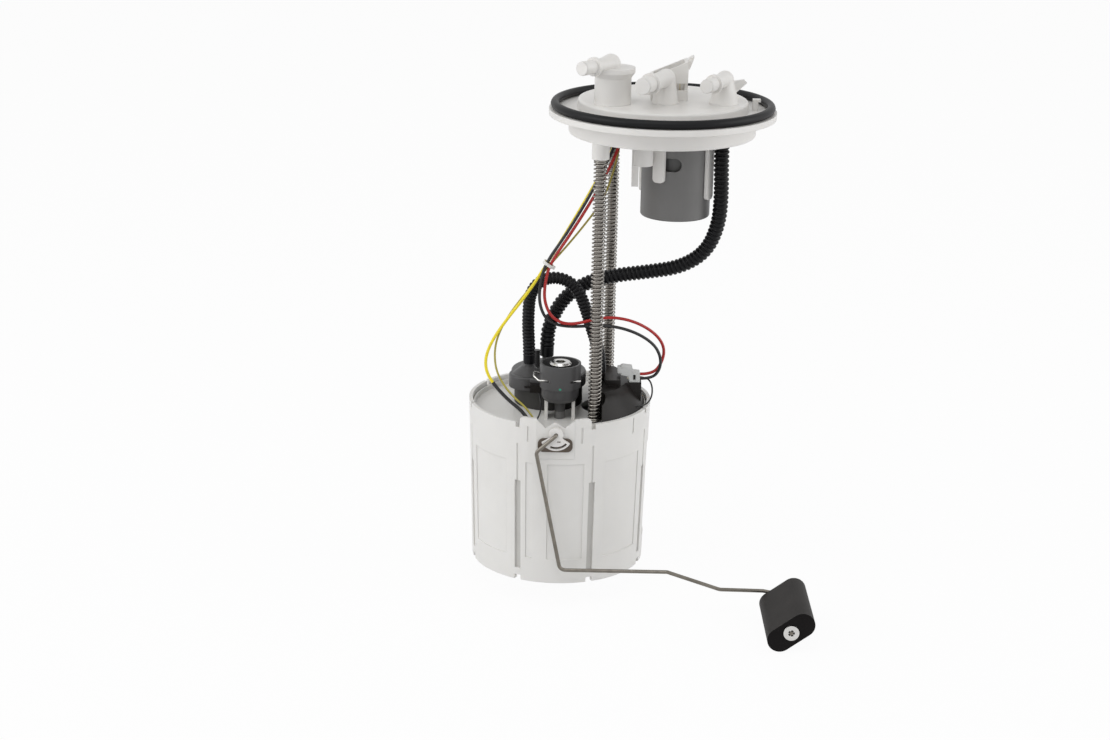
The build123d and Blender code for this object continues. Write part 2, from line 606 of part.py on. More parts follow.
# Moulded plug that brings the leads out under the flange
with BuildPart() as harness_plug:
    with BuildSketch(Plane.XY.offset(HARNESS_PLUG_Z)):
        with Locations(HARNESS_PLUG_XY):
            RectangleRounded(*HARNESS_PLUG_SIZE, HARNESS_PLUG_CORNER_R)
    extrude(amount=CEILING_Z - HARNESS_PLUG_Z - HARNESS_PLUG_DROP)
    with Locations((*HARNESS_PLUG_XY, CEILING_Z)):
        Box(
            HARNESS_PLUG_SIZE[0] - HARNESS_NECK_IN[0],
            HARNESS_PLUG_SIZE[1] - HARNESS_NECK_IN[1],
            HARNESS_NECK_H,
            align=HANGING,
        )
harness_plug.part.label = "harness_plug"
export_step(harness_plug.part, "parts/harness_plug.step")

# Vent valve: an open can with a side window, hung under its cap
with BuildPart() as vent_valve_body:
    with BuildSketch(turned(CAN_XY)):
        with BuildLine():
            Polyline(
                (0, CAN_BOTTOM_Z), (CAN_R, CAN_BOTTOM_Z), (CAN_R, CAN_TOP_Z), (CAN_R - CAN_WALL, CAN_TOP_Z),
                (CAN_R - CAN_WALL, CAN_BOTTOM_Z + CAN_WALL), (0, CAN_BOTTOM_Z + CAN_WALL), close=True,
            )
        can_wall = make_face()
        fillet(can_wall.vertices().group_by(Axis.Y)[0].sort_by(Axis.X)[-1], radius=1.2)
    revolve(axis=upright_axis(CAN_XY))
    with BuildSketch(Plane.XZ.offset(CAN_R / 2 - CAN_XY[1])):
        with Locations((CAN_SLOT_X, CAN_SLOT_Z)):
            SlotOverall(*CAN_SLOT)
    extrude(amount=CAN_R, mode=Mode.SUBTRACT)
    with Locations((*CAN_XY, CAN_BOTTOM_Z)):
        Cylinder(3.0, CAN_WALL, align=UPRIGHT, mode=Mode.SUBTRACT)
        with PolarLocations(12.5, 6):
            Cylinder(2.2, CAN_WALL, align=UPRIGHT, mode=Mode.SUBTRACT)
vent_valve_body.part.label = "vent_valve_body"
export_step(vent_valve_body.part, "parts/vent_valve_body.step")

# Its cap: a hollow lid with the valve seat below and the outlet neck above
with BuildPart() as vent_valve_cap:
    with Locations((*CAN_XY, CAN_TOP_Z)):
        Cylinder(CAN_R, 2.0, align=UPRIGHT)
        Cylinder(CAN_R - 1.0, CAN_CAP_T, align=UPRIGHT)
    with Locations((*vapour_xy, CAN_TOP_Z + CAN_CAP_T - 1)):
        Cylinder(NECK_R, NECK_TOP_Z - CAN_TOP_Z - CAN_CAP_T + 1, align=UPRIGHT)
    with Locations((*CAN_XY, CAN_TOP_Z + 2.0)):
        Cylinder(CAN_R - 2.4, CAN_CAP_T - 3.4, align=UPRIGHT, mode=Mode.SUBTRACT)
    with Locations((*CAN_XY, CAN_TOP_Z)):
        Cylinder(SEAT_R, 2.5, align=UPRIGHT, mode=Mode.SUBTRACT)
    with Locations((*vapour_xy, CAN_TOP_Z + 2.5)):
        Cylinder(NECK_R - 1.2, NECK_TOP_Z - CAN_TOP_Z, align=UPRIGHT, mode=Mode.SUBTRACT)
vent_valve_cap.part.label = "vent_valve_cap"
export_step(vent_valve_cap.part, "parts/vent_valve_cap.step")

# Square-section seal between the neck and the flange's vapour passage
with BuildPart() as vent_seal:
    with BuildSketch(Plane.XY.offset(CEILING_Z - 2.4)):
        with Locations(vapour_xy):
            Circle(NECK_SOCKET_R)
            Circle(NECK_R, mode=Mode.SUBTRACT)
    extrude(amount=NECK_SOCKET_R - NECK_R)
vent_seal.part.label = "vent_seal"
export_step(vent_seal.part, "parts/vent_seal.step")

# Light spring under the vent float, as the sleeve that its wire sweeps out
with BuildPart() as vent_valve_spring:
    with BuildSketch(Plane.XY.offset(CAN_BOTTOM_Z + CAN_WALL)):
        with Locations(CAN_XY):
            Circle(VENT_SPRING_R + VENT_SPRING_WIRE / 2)
            Circle(VENT_SPRING_R - VENT_SPRING_WIRE / 2, mode=Mode.SUBTRACT)
    extrude(amount=VENT_FLOAT_Z[0] - CAN_BOTTOM_Z - CAN_WALL)
vent_valve_spring.part.label = "vent_valve_spring"
export_step(vent_valve_spring.part, "parts/vent_valve_spring.step")

# Float of the vent valve, with the needle that shuts the seat
with BuildPart() as vent_float:
    with BuildSketch(turned(CAN_XY)):
        with BuildLine():
            needle_top = CAN_TOP_Z - FLOAT_TRAVEL - 0.3
            Polyline(
                (0, VENT_FLOAT_Z[0]), (VENT_FLOAT_R, VENT_FLOAT_Z[0]), (VENT_FLOAT_R, VENT_FLOAT_Z[1]),
                (VENT_FLOAT_R - 3, VENT_FLOAT_Z[1] + 2), (3.2, VENT_FLOAT_Z[1] + 2), (2.6, needle_top - 2.2),
                (0.4, needle_top), (0, needle_top), close=True,
            )
        make_face()
    revolve(axis=upright_axis(CAN_XY))
vent_float.part.label = "vent_float"
export_step(vent_float.part, "parts/vent_float.step")

# Guide rods, their springs and the rings that stop the pot
for name, (x, y) in ROD_XY.items():
    with BuildPart() as guide_rod:
        with Locations((x, y, ROD_END_Z)):
            Cylinder(ROD_D / 2, ROD_BOSS_Z + ROD_SEAT - ROD_END_Z, align=UPRIGHT)
        chamfer(guide_rod.edges().sort_by(Axis.Z)[0], length=0.8)
    guide_rod.part.label = f"guide_rod_{name}"
    export_step(guide_rod.part, f"parts/guide_rod_{name}.step")

    with BuildPart() as spring:
        with BuildSketch(Plane.XY.offset(SPRING_FOOT_Z)):
            with Locations((x, y)):
                Circle(SPRING_OD / 2)
                Circle(SPRING_OD / 2 - SPRING_WIRE, mode=Mode.SUBTRACT)
        extrude(amount=SPRING_TOP_Z - SPRING_FOOT_Z)
    spring.part.label = f"spring_{name}"
    export_step(spring.part, f"parts/spring_{name}.step")

with BuildPart() as rod_retainers:
    with BuildSketch(Plane.XY.offset(BUSH_LOW_Z - RUNNING)):
        with Locations(*ROD_XY.values()):
            Circle(RETAINER_R)
            Circle(ROD_D / 2, mode=Mode.SUBTRACT)
    extrude(amount=-RETAINER_T)
rod_retainers.part.label = "rod_retainers"
export_step(rod_retainers.part, "parts/rod_retainers.step")


def cord_radii(points):
    """Arc at each corner of a route: 0.45 of its shorter run over the tangent of half the turn."""
    corners = [Vector(*p) for p in points]
    radii = []
    for before, here, after in zip(corners, corners[1:], corners[2:]):
        turn = (here - before).get_angle(after - here)
        shorter = min((here - before).length, (after - here).length)
        radii.append(0.45 * shorter / tan(radians(turn) / 2))
    return radii


def lay_cord(label, points, diameter):
    """A round cord along straight runs joined by tangent arcs, written as a piece of its own."""
    radii = cord_radii(points)
    with BuildPart() as cord:
        with BuildLine() as route:
            FilletPolyline(*points, radius=radii)
        line = route.wires()[0]
        with BuildSketch(Plane(origin=line @ 0, z_dir=line % 0)):
            Circle(diameter / 2)
        sweep(path=line)
    section = pi * diameter**2 / 4
    print(label, "length", round(line.length, 1), "smallest radius", round(min(radii), 1),
          "volume share", round(cord.part.volume / (section * line.length), 4))
    cord.part.label = label
    export_step(cord.part, f"parts/{label}.step")


lay_cord("feed_hose", FEED_HOSE, FEED_HOSE_D)
lay_cord("wire_yellow", YELLOW_WIRE, WIRE_D)
lay_cord("wire_tan", TAN_WIRE, TAN_WIRE_D)
lay_cord("wire_red", RED_WIRE, WIRE_D)
lay_cord("wire_black", BLACK_WIRE, WIRE_D)
lay_cord("crossover_hose", CROSSOVER_HOSE, CROSSOVER_D)
lay_cord("ground_lead_filter", FILTER_GROUND, GROUND_D)
lay_cord("ground_lead_plug", PLUG_GROUND, GROUND_D)


# Small moulded tie that bundles the four leads
with BuildPart() as cable_tie:
    bundle = Plane(origin=TIE_AT, x_dir=(0, 1, 0), z_dir=Vector(*RED_WIRE[5]) - Vector(*RED_WIRE[4]))
    with BuildSketch(bundle):
        RectangleRounded(*(size + 2 * TIE_T for size in TIE_INSIDE), TIE_CORNER_R + TIE_T)
        with Locations((0, TIE_INSIDE[1] / 2 + TIE_T)):
            RectangleRounded(*TIE_HEAD)
        RectangleRounded(*TIE_INSIDE, TIE_CORNER_R, mode=Mode.SUBTRACT)
    extrude(amount=TIE_W / 2, both=True)
cable_tie.part.label = "cable_tie"
export_step(cable_tie.part, "parts/cable_tie.step")

# ---------------------------------------------------------------- pot group

# Swirl pot: tapered wall, floor and foot ring, with its grooves, sunk panels and sender window
with BuildPart() as reservoir:
    with BuildSketch(turned((POT_X, 0))):
        with BuildLine():
            Polyline(
                (0, FLOOR_TOP_Z), (pot_radius(FLOOR_TOP_Z) - POT_WALL, FLOOR_TOP_Z),
                (POT_TOP_R - POT_WALL, POT_TOP_Z), (POT_TOP_R, POT_TOP_Z), (POT_BOTTOM_R, POT_BOTTOM_Z),
                (POT_BOTTOM_R - FOOT_W, POT_BOTTOM_Z), (POT_BOTTOM_R - FOOT_W, POT_BOTTOM_Z + FOOT_H),
                (0, POT_BOTTOM_Z + FOOT_H), close=True,
            )
        make_face()
    revolve(axis=POT_AXIS)

    # The rim is raised beside the sender, and the raised part is rounded at its ends
    with BuildSketch(pot_plane(COLLAR_ANGLES[0])):
        with Locations((POT_TOP_R - POT_WALL / 2, POT_TOP_Z + COLLAR_H / 2)):
            Rectangle(POT_WALL, COLLAR_H)
    revolve(axis=POT_AXIS, revolution_arc=COLLAR_ANGLES[1] - COLLAR_ANGLES[0])
    collar_corners = [
        e for e in reservoir.edges().filter_by(GeomType.LINE)
        if abs(e.length - POT_WALL) < 0.01 and abs(e.center().Z - POT_TOP_Z - COLLAR_H) < 0.01
    ]
    fillet(collar_corners, radius=COLLAR_CORNER_R)

    # Upright ribs inside, whose flat tops carry the deck
    for angle in POT_RIB_ANGLES:
        with BuildSketch(pot_plane(angle)):
            with BuildLine():
                rib_low_r = pot_radius(FLOOR_TOP_Z) - POT_WALL
                rib_high_r = pot_radius(DECK_UNDER_Z) - POT_WALL
                Polyline(
                    (rib_low_r - POT_RIB_D, FLOOR_TOP_Z - 1), (rib_low_r + 1, FLOOR_TOP_Z - 1),
                    (rib_high_r + 1, DECK_UNDER_Z), (rib_high_r - POT_RIB_D, DECK_UNDER_Z), close=True,
                )
            make_face()
        extrude(amount=POT_RIB_W / 2, both=True)

    # Grooves down the outside, each with a thin slit over it and notches at rim and foot
    groove_mid_z = (GROOVE_Z[0] + GROOVE_Z[1]) / 2
    slit_mid_z = (GROOVE_Z[1] + SLIT_TOP_Z) / 2
    for angle in GROOVE_ANGLES:
        with Locations(on_pot(angle, pot_radius(groove_mid_z), groove_mid_z, POT_LEAN)):
            Box(2 * GROOVE_DEPTH, GROOVE_W, GROOVE_Z[1] - GROOVE_Z[0], mode=Mode.SUBTRACT)
        with Locations(on_pot(angle, pot_radius(slit_mid_z), slit_mid_z, POT_LEAN)):
            Box(2 * SLIT_DEPTH, SLIT_W, SLIT_TOP_Z - GROOVE_Z[1], mode=Mode.SUBTRACT)
        with Locations(on_pot(angle, POT_TOP_R, POT_TOP_Z)):
            Box(4 * POT_WALL, RIM_NOTCH[0], 2 * RIM_NOTCH[1], mode=Mode.SUBTRACT)
        with Locations(on_pot(angle, POT_BOTTOM_R, POT_BOTTOM_Z)):
            Box(4 * FOOT_W, FOOT_NOTCH[0], 2 * FOOT_NOTCH[1], mode=Mode.SUBTRACT)

    # Sunk panels between the grooves
    for start, width in PANELS:
        with BuildSketch(pot_plane(start)):
            with BuildLine():
                panel_low_r, panel_high_r = pot_radius(PANEL_Z[0]), pot_radius(PANEL_Z[1])
                Polyline(
                    (panel_low_r - PANEL_DEPTH, PANEL_Z[0]), (panel_low_r + 1, PANEL_Z[0]),
                    (panel_high_r + 1, PANEL_Z[1]), (panel_high_r - PANEL_DEPTH, PANEL_Z[1]), close=True,
                )
            make_face()
        revolve(axis=POT_AXIS, revolution_arc=width, mode=Mode.SUBTRACT)

    # Short slits under the rim, the sender's window and the inlet valve's holes in the floor
    short_slit_z = (SHORT_SLIT_Z[0] + SHORT_SLIT_Z[1]) / 2
    for angle in SLIT_ANGLES:
        with Locations(on_pot(angle, pot_radius(short_slit_z), short_slit_z, POT_LEAN)):
            Box(2 * SLIT_DEPTH, SLIT_W, SHORT_SLIT_Z[1] - SHORT_SLIT_Z[0], mode=Mode.SUBTRACT)
    with Locations(((WINDOW_X[0] + WINDOW_X[1]) / 2, -POT_TOP_R, WINDOW_BOTTOM_Z)):
        Box(
            WINDOW_X[1] - WINDOW_X[0], WINDOW_DEPTH, POT_TOP_Z + COLLAR_H - WINDOW_BOTTOM_Z,
            align=UPRIGHT, mode=Mode.SUBTRACT,
        )
    with Locations((*VALVE_XY, POT_BOTTOM_Z + FOOT_H)):
        Cylinder(VALVE_STEM_R, FLOOR_T, align=UPRIGHT, mode=Mode.SUBTRACT)
        with PolarLocations(VALVE_SLOT_R, 4):
            Cylinder(1.3, FLOOR_T, align=UPRIGHT, mode=Mode.SUBTRACT)
reservoir.part.label = "reservoir"
export_step(reservoir.part, "parts/reservoir.step")

# Deck that closes the pot and carries the filter, the pump's sleeve and the rod bushes
with BuildPart() as reservoir_lid:
    deck_r = pot_radius(DECK_UNDER_Z) - POT_WALL - DECK_GAP
    with Locations((POT_X, 0, DECK_UNDER_Z)):
        Cylinder(deck_r, DECK_T + DECK_LIP_H, align=UPRIGHT)
    with Locations((POT_X, 0, DECK_Z)):
        Cylinder(deck_r - DECK_LIP_T, DECK_LIP_H, align=UPRIGHT, mode=Mode.SUBTRACT)
    with Locations((*PUMP_XY, SLEEVE_Z)):
        Cylinder(SLEEVE_R + SLEEVE_WALL, DECK_UNDER_Z - SLEEVE_Z, align=UPRIGHT)
    with Locations((*PUMP_XY, SLEEVE_Z)):
        Cylinder(SLEEVE_R, DECK_UNDER_Z - SLEEVE_Z, align=UPRIGHT, mode=Mode.SUBTRACT)
        Cylinder(PUMP_OPENING_R, DECK_Z - SLEEVE_Z, align=UPRIGHT, mode=Mode.SUBTRACT)
    for x in CUP_RIB_X:
        with Locations((x, CUP_XY[1], DECK_Z)):
            Box(CUP_RIB_T, CUP_RIB_L, CUP_BOTTOM_Z - DECK_Z, align=UPRIGHT)
    with Locations((*FILTER_XY, DECK_UNDER_Z)):
        Cylinder(BOWL_R + DECK_GAP, DECK_T, align=UPRIGHT, mode=Mode.SUBTRACT)
    with Locations((*SPOUT_XY, DECK_UNDER_Z)):
        Cylinder(SPOUT_R, DECK_T, align=UPRIGHT, mode=Mode.SUBTRACT)
    for x, y in ROD_XY.values():
        with Locations((x, y, DECK_UNDER_Z)):
            Cylinder(BUSH_R, DECK_T, align=UPRIGHT, mode=Mode.SUBTRACT)
    with Locations(((DECK_NOTCH_X[0] + DECK_NOTCH_X[1]) / 2, -deck_r, DECK_UNDER_Z)):
        Box(
            DECK_NOTCH_X[1] - DECK_NOTCH_X[0], 2 * (deck_r + DECK_NOTCH_Y), DECK_T + DECK_LIP_H,
            align=UPRIGHT, mode=Mode.SUBTRACT,
        )
reservoir_lid.part.label = "reservoir_lid"
export_step(reservoir_lid.part, "parts/reservoir_lid.step")

# Flanged guide bushes pressed into the deck
with BuildPart() as rod_bushings:
    for x, y in ROD_XY.values():
        with BuildSketch(turned((x, y))):
            with BuildLine():
                bore_r = ROD_D / 2 + RUNNING
                Polyline(
                    (bore_r, BUSH_LOW_Z), (BUSH_R, BUSH_LOW_Z), (BUSH_R, DECK_Z), (BUSH_FLANGE_R, DECK_Z),
                    (BUSH_FLANGE_R, SPRING_FOOT_Z), (bore_r, SPRING_FOOT_Z), close=True,
                )
            make_face()
        revolve(axis=upright_axis((x, y)))
rod_bushings.part.label = "rod_bushings"
export_step(rod_bushings.part, "parts/rod_bushings.step")

# Electric pump: steel shell closed by two moulded ends
with BuildPart() as pump_case:
    with BuildSketch(Plane.XY.offset(PUMP_Z[0])):
        with Locations(PUMP_XY):
            Circle(PUMP_R)
            Circle(PUMP_BORE_R, mode=Mode.SUBTRACT)
    extrude(amount=PUMP_Z[1] - PUMP_Z[0])
pump_case.part.label = "pump_case"
export_step(pump_case.part, "parts/pump_case.step")

with BuildPart() as pump_outlet_cap:
    with Locations((*PUMP_XY, PUMP_Z[1])):
        Cylinder(PUMP_BORE_R, CAP_SPIGOT, align=HANGING)
        Cylinder(PUMP_R, 5.0, align=UPRIGHT)
        Cylinder(PUMP_R - 5.0, OUTLET_CAP_TOP_Z - PUMP_Z[1], align=UPRIGHT)
    with Locations((*OUTLET_XY, OUTLET_CAP_TOP_Z)):
        Cylinder(OUTLET_R, OUTLET_TOP_Z - OUTLET_CAP_TOP_Z, align=UPRIGHT)
    with Locations((*PUMP_XY, PUMP_Z[1] - CAP_SPIGOT)):
        Cylinder(SHAFT_R + RUNNING, SHAFT_BEARING_L, align=UPRIGHT, mode=Mode.SUBTRACT)
    with Locations((*OUTLET_XY, PUMP_Z[1] - CAP_SPIGOT)):
        Cylinder(OUTLET_R - 1.0, OUTLET_TOP_Z - PUMP_Z[1] + CAP_SPIGOT, align=UPRIGHT, mode=Mode.SUBTRACT)
pump_outlet_cap.part.label = "pump_outlet_cap"
export_step(pump_outlet_cap.part, "parts/pump_outlet_cap.step")

# The inlet end is the pump chamber: its rim holds the impeller and its spout draws from the strainer
with BuildPart() as pump_inlet_cap:
    with Locations((*PUMP_XY, INLET_CAP_Z)):
        Cylinder(PUMP_R, PUMP_Z[0] - INLET_CAP_Z, align=UPRIGHT)
    with Locations((*PUMP_XY, PUMP_Z[0])):
        Cylinder(PUMP_BORE_R, CAP_SPIGOT, align=UPRIGHT)
        Cylinder(IMPELLER_R + RUNNING, CAP_SPIGOT, align=UPRIGHT, mode=Mode.SUBTRACT)
    with Locations((*PUMP_XY, PUMP_Z[0])):
        Cylinder(SHAFT_R + RUNNING, SHAFT_BEARING_L, align=HANGING, mode=Mode.SUBTRACT)
    with Locations((*INLET_SPOUT_XY, STRAINER_Z[1])):
        Cylinder(INLET_SPOUT_R, INLET_CAP_Z - STRAINER_Z[1], align=UPRIGHT)
        Cylinder(INLET_SPOUT_R - 1.4, PUMP_Z[0] - STRAINER_Z[1], align=UPRIGHT, mode=Mode.SUBTRACT)
pump_inlet_cap.part.label = "pump_inlet_cap"
export_step(pump_inlet_cap.part, "parts/pump_inlet_cap.step")

with BuildPart() as motor_magnets:
    for start in MAGNET_STARTS:
        with BuildSketch(Plane.XY.offset(CORE_Z[0])):
            with BuildLine():
                outer_arc = CenterArc(PUMP_XY, PUMP_BORE_R, start, MAGNET_SPAN)
                inner_arc = CenterArc(PUMP_XY, MAGNET_R, start, MAGNET_SPAN)
                Line(outer_arc @ 0, inner_arc @ 0)
                Line(outer_arc @ 1, inner_arc @ 1)
            make_face()
        extrude(amount=CORE_Z[1] - CORE_Z[0])
motor_magnets.part.label = "motor_magnets"
export_step(motor_magnets.part, "parts/motor_magnets.step")

with BuildPart() as brushes:
    with Locations((*PUMP_XY, PUMP_Z[1] - CAP_SPIGOT)):
        with PolarLocations(COMMUTATOR_R + RUNNING + BRUSH[0] / 2, 2):
            Box(*BRUSH, align=HANGING)
    with Locations((*PUMP_XY, PUMP_Z[1] - CAP_SPIGOT)):
        Cylinder(COMMUTATOR_R + RUNNING, BRUSH[2], align=HANGING, mode=Mode.SUBTRACT)
brushes.part.label = "brushes"
export_step(brushes.part, "parts/brushes.step")

# What turns: the armature on its shaft, and the impeller at the foot of the shaft
with BuildPart() as armature:
    with Locations((*PUMP_XY, SHAFT_Z[0])):
        Cylinder(SHAFT_R, SHAFT_Z[1] - SHAFT_Z[0], align=UPRIGHT)
    with BuildSketch(Plane.XY.offset(CORE_Z[0])):
        with Locations(PUMP_XY):
            Circle(CORE_R)
            with PolarLocations(CORE_R - 2.5, CORE_SLOTS):
                Circle(1.6, mode=Mode.SUBTRACT)
            with PolarLocations(CORE_R - 0.8, CORE_SLOTS):
                Rectangle(2.4, 1.0, mode=Mode.SUBTRACT)
    extrude(amount=CORE_Z[1] - CORE_Z[0])
    with Locations((*PUMP_XY, CORE_Z[1])):
        Cylinder(COMMUTATOR_R, COMMUTATOR_TOP_Z - CORE_Z[1], align=UPRIGHT)
armature.part.label = "armature"
export_step(armature.part, "parts/armature.step")

with BuildPart() as impeller:
    with BuildSketch(Plane.XY.offset(PUMP_Z[0] + RUNNING)):
        with Locations(PUMP_XY):
            Circle(IMPELLER_R)
            Circle(SHAFT_R, mode=Mode.SUBTRACT)
            with PolarLocations(IMPELLER_R - 1.2, IMPELLER_VANES):
                Rectangle(2.6, 1.6, mode=Mode.SUBTRACT)
    extrude(amount=IMPELLER_T)
impeller.part.label = "impeller"
export_step(impeller.part, "parts/impeller.step")

# Rubber sleeve that holds the pump in the deck's sleeve
with BuildPart() as pump_isolator:
    with BuildSketch(Plane.XY.offset(ISOLATOR_Z[0])):
        with Locations(PUMP_XY):
            Circle(SLEEVE_R)
            Circle(PUMP_R, mode=Mode.SUBTRACT)
    extrude(amount=ISOLATOR_Z[1] - ISOLATOR_Z[0])
pump_isolator.part.label = "pump_isolator"
export_step(pump_isolator.part, "parts/pump_isolator.step")

# Strainer bag on the floor, hollow, open to the inlet spout above
with BuildPart() as strainer:
    strainer_size = (STRAINER_X[1] - STRAINER_X[0], STRAINER_W, STRAINER_Z[1] - STRAINER_Z[0])
    with Locations(((STRAINER_X[0] + STRAINER_X[1]) / 2, 0, STRAINER_Z[0])):
        Box(*strainer_size, align=UPRIGHT)
    fillet(strainer.edges().filter_by(Axis.Z), radius=6)
    fillet(strainer.edges().group_by(Axis.Z)[-1], radius=2)
    with Locations(((STRAINER_X[0] + STRAINER_X[1]) / 2, 0, STRAINER_Z[0] + STRAINER_WALL)):
        Box(
            strainer_size[0] - 2 * STRAINER_WALL - STRAINER_HEM,
            strainer_size[1] - 2 * STRAINER_WALL - STRAINER_HEM,
            strainer_size[2] - 2 * STRAINER_WALL,
            align=UPRIGHT,
            mode=Mode.SUBTRACT,
        )
    with Locations((*INLET_SPOUT_XY, STRAINER_Z[1])):
        Cylinder(INLET_SPOUT_R - 1.4, STRAINER_WALL, align=HANGING, mode=Mode.SUBTRACT)
strainer.part.label = "strainer"
export_step(strainer.part, "parts/strainer.step")

# Jet pump: a venturi tube along the floor, fed from the regulator's spout
with BuildPart() as jet_pump:
    with Locations(Location((JET_X[0], SPOUT_XY[1], FLOOR_TOP_Z + JET_R), (0, 90, 0))):
        Cylinder(JET_R, JET_X[1] - JET_X[0], align=UPRIGHT)
    with Locations((*SPOUT_XY, FLOOR_TOP_Z + JET_R)):
        Cylinder(RISER_R, SPOUT_Z - FLOOR_TOP_Z - JET_R, align=UPRIGHT)
    for x in JET_X:
        with Locations((x - 3 if x == JET_X[1] else x + 3, SPOUT_XY[1], FLOOR_TOP_Z)):
            Box(6, 2 * JET_R, 2, align=UPRIGHT)
    with Locations((*SPOUT_XY, FLOOR_TOP_Z + JET_R)):
        Cylinder(RISER_R - 1.2, SPOUT_Z - FLOOR_TOP_Z - JET_R, align=UPRIGHT, mode=Mode.SUBTRACT)
    with Locations(Location((JET_X[0], SPOUT_XY[1], FLOOR_TOP_Z + JET_R), (0, 90, 0))):
        Cone(2.8, 1.4, 14, align=UPRIGHT, mode=Mode.SUBTRACT)
        Cylinder(1.4, SPOUT_XY[0] - JET_X[0], align=UPRIGHT, mode=Mode.SUBTRACT)
jet_pump.part.label = "jet_pump"
export_step(jet_pump.part, "parts/jet_pump.step")

# Umbrella valve that lets the pot fill through its floor
with BuildPart() as inlet_valve:
    with BuildSketch(turned(VALVE_XY)):
        with BuildLine():
            valve_low = POT_BOTTOM_Z + FOOT_H
            Polyline(
                (0, FLOOR_TOP_Z + 1.8), (2.5, FLOOR_TOP_Z + 1.6), (VALVE_R, FLOOR_TOP_Z + 0.7),
                (VALVE_R, FLOOR_TOP_Z), (VALVE_STEM_R, FLOOR_TOP_Z), (VALVE_STEM_R, valve_low),
                (VALVE_STEM_R + 0.6, valve_low), (0.8, valve_low - 1.8), (0, valve_low - 1.8), close=True,
            )
        make_face()
    revolve(axis=upright_axis(VALVE_XY))
inlet_valve.part.label = "inlet_valve"
export_step(inlet_valve.part, "parts/inlet_valve.step")

# Domed cover over the pump's head, D shaped, with a wall round the front rod
with BuildPart() as pump_cover:
    with BuildSketch(turned((POT_X, 0))):
        with BuildLine():
            Polyline(
                (0, DECK_Z), (COVER_R, DECK_Z), (COVER_R, COVER_EDGE_Z), (COVER_SHOULDER_R, COVER_SHOULDER_Z),
                (COVER_TOP_R, COVER_TOP_Z), (0, COVER_TOP_Z), close=True,
            )
        make_face()
    revolve(axis=POT_AXIS)
    with Locations((COVER_LEFT_X, (COVER_FRONT_Y + COVER_BACK_Y) / 2, DECK_Z)):
        Box(
            COVER_R, COVER_BACK_Y - COVER_FRONT_Y, COVER_TOP_Z - DECK_Z,
            align=(Align.MIN, Align.CENTER, Align.MIN), mode=Mode.INTERSECT,
        )
    with Locations((*ROD_XY["front"], DECK_Z)):
        Cylinder(COVER_NOTCH_R, COVER_TOP_Z - DECK_Z, align=UPRIGHT, mode=Mode.SUBTRACT)
    with Locations((*COVER_CORNER, DECK_Z)):
        Box(
            COVER_R, COVER_R, COVER_TOP_Z - DECK_Z,
            align=(Align.MAX, Align.MAX, Align.MIN), mode=Mode.SUBTRACT,
        )
    offset(amount=-COVER_WALL, openings=pump_cover.faces().sort_by(Axis.Z)[0])

    # Header block, the plug's seat, and the outlet's nipple over its socket
    with Locations((*HEADER_XY, COVER_TOP_Z - COVER_WALL)):
        Box(*HEADER_SIZE, HEADER_TOP_Z - COVER_TOP_Z + COVER_WALL, align=UPRIGHT)
    with Locations((*SEAT_XY, COVER_EDGE_Z)):
        Box(*SEAT_SIZE, COVER_TOP_Z - COVER_EDGE_Z, align=UPRIGHT)
    with Locations((*OUTLET_XY, OUTLET_SOCKET_Z)):
        Cylinder(OUTLET_R + 1.6, COVER_TOP_Z - OUTLET_SOCKET_Z, align=UPRIGHT)
        Cylinder(NIPPLE_R, CROSSOVER_HOSE[-1][2] - OUTLET_SOCKET_Z, align=UPRIGHT)
        Cylinder(OUTLET_R, OUTLET_TOP_Z - OUTLET_SOCKET_Z, align=UPRIGHT, mode=Mode.SUBTRACT)
        Cylinder(HOSE_BORE_R, CROSSOVER_HOSE[-1][2] - OUTLET_SOCKET_Z, align=UPRIGHT, mode=Mode.SUBTRACT)
pump_cover.part.label = "pump_cover"
export_step(pump_cover.part, "parts/pump_cover.step")

# Filter can: a shallow bowl on the deck with a deep bowl through it
with BuildPart() as filter_housing:
    with BuildSketch(turned(FILTER_XY)):
        with BuildLine():
            Polyline(
                (0, BOWL_Z), (BOWL_R, BOWL_Z), (BOWL_R, DECK_Z), (FILTER_R, DECK_Z), (FILTER_R, FILTER_TOP_Z),
                (FILTER_R - FILTER_WALL, FILTER_TOP_Z), (FILTER_R - FILTER_WALL, DECK_Z + FILTER_WALL),
                (BOWL_R - FILTER_WALL, DECK_Z + FILTER_WALL), (BOWL_R - FILTER_WALL, BOWL_Z + FILTER_WALL),
                (0, BOWL_Z + FILTER_WALL), close=True,
            )
        make_face()
    revolve(axis=upright_axis(FILTER_XY))
filter_housing.part.label = "filter_housing"
export_step(filter_housing.part, "parts/filter_housing.step")

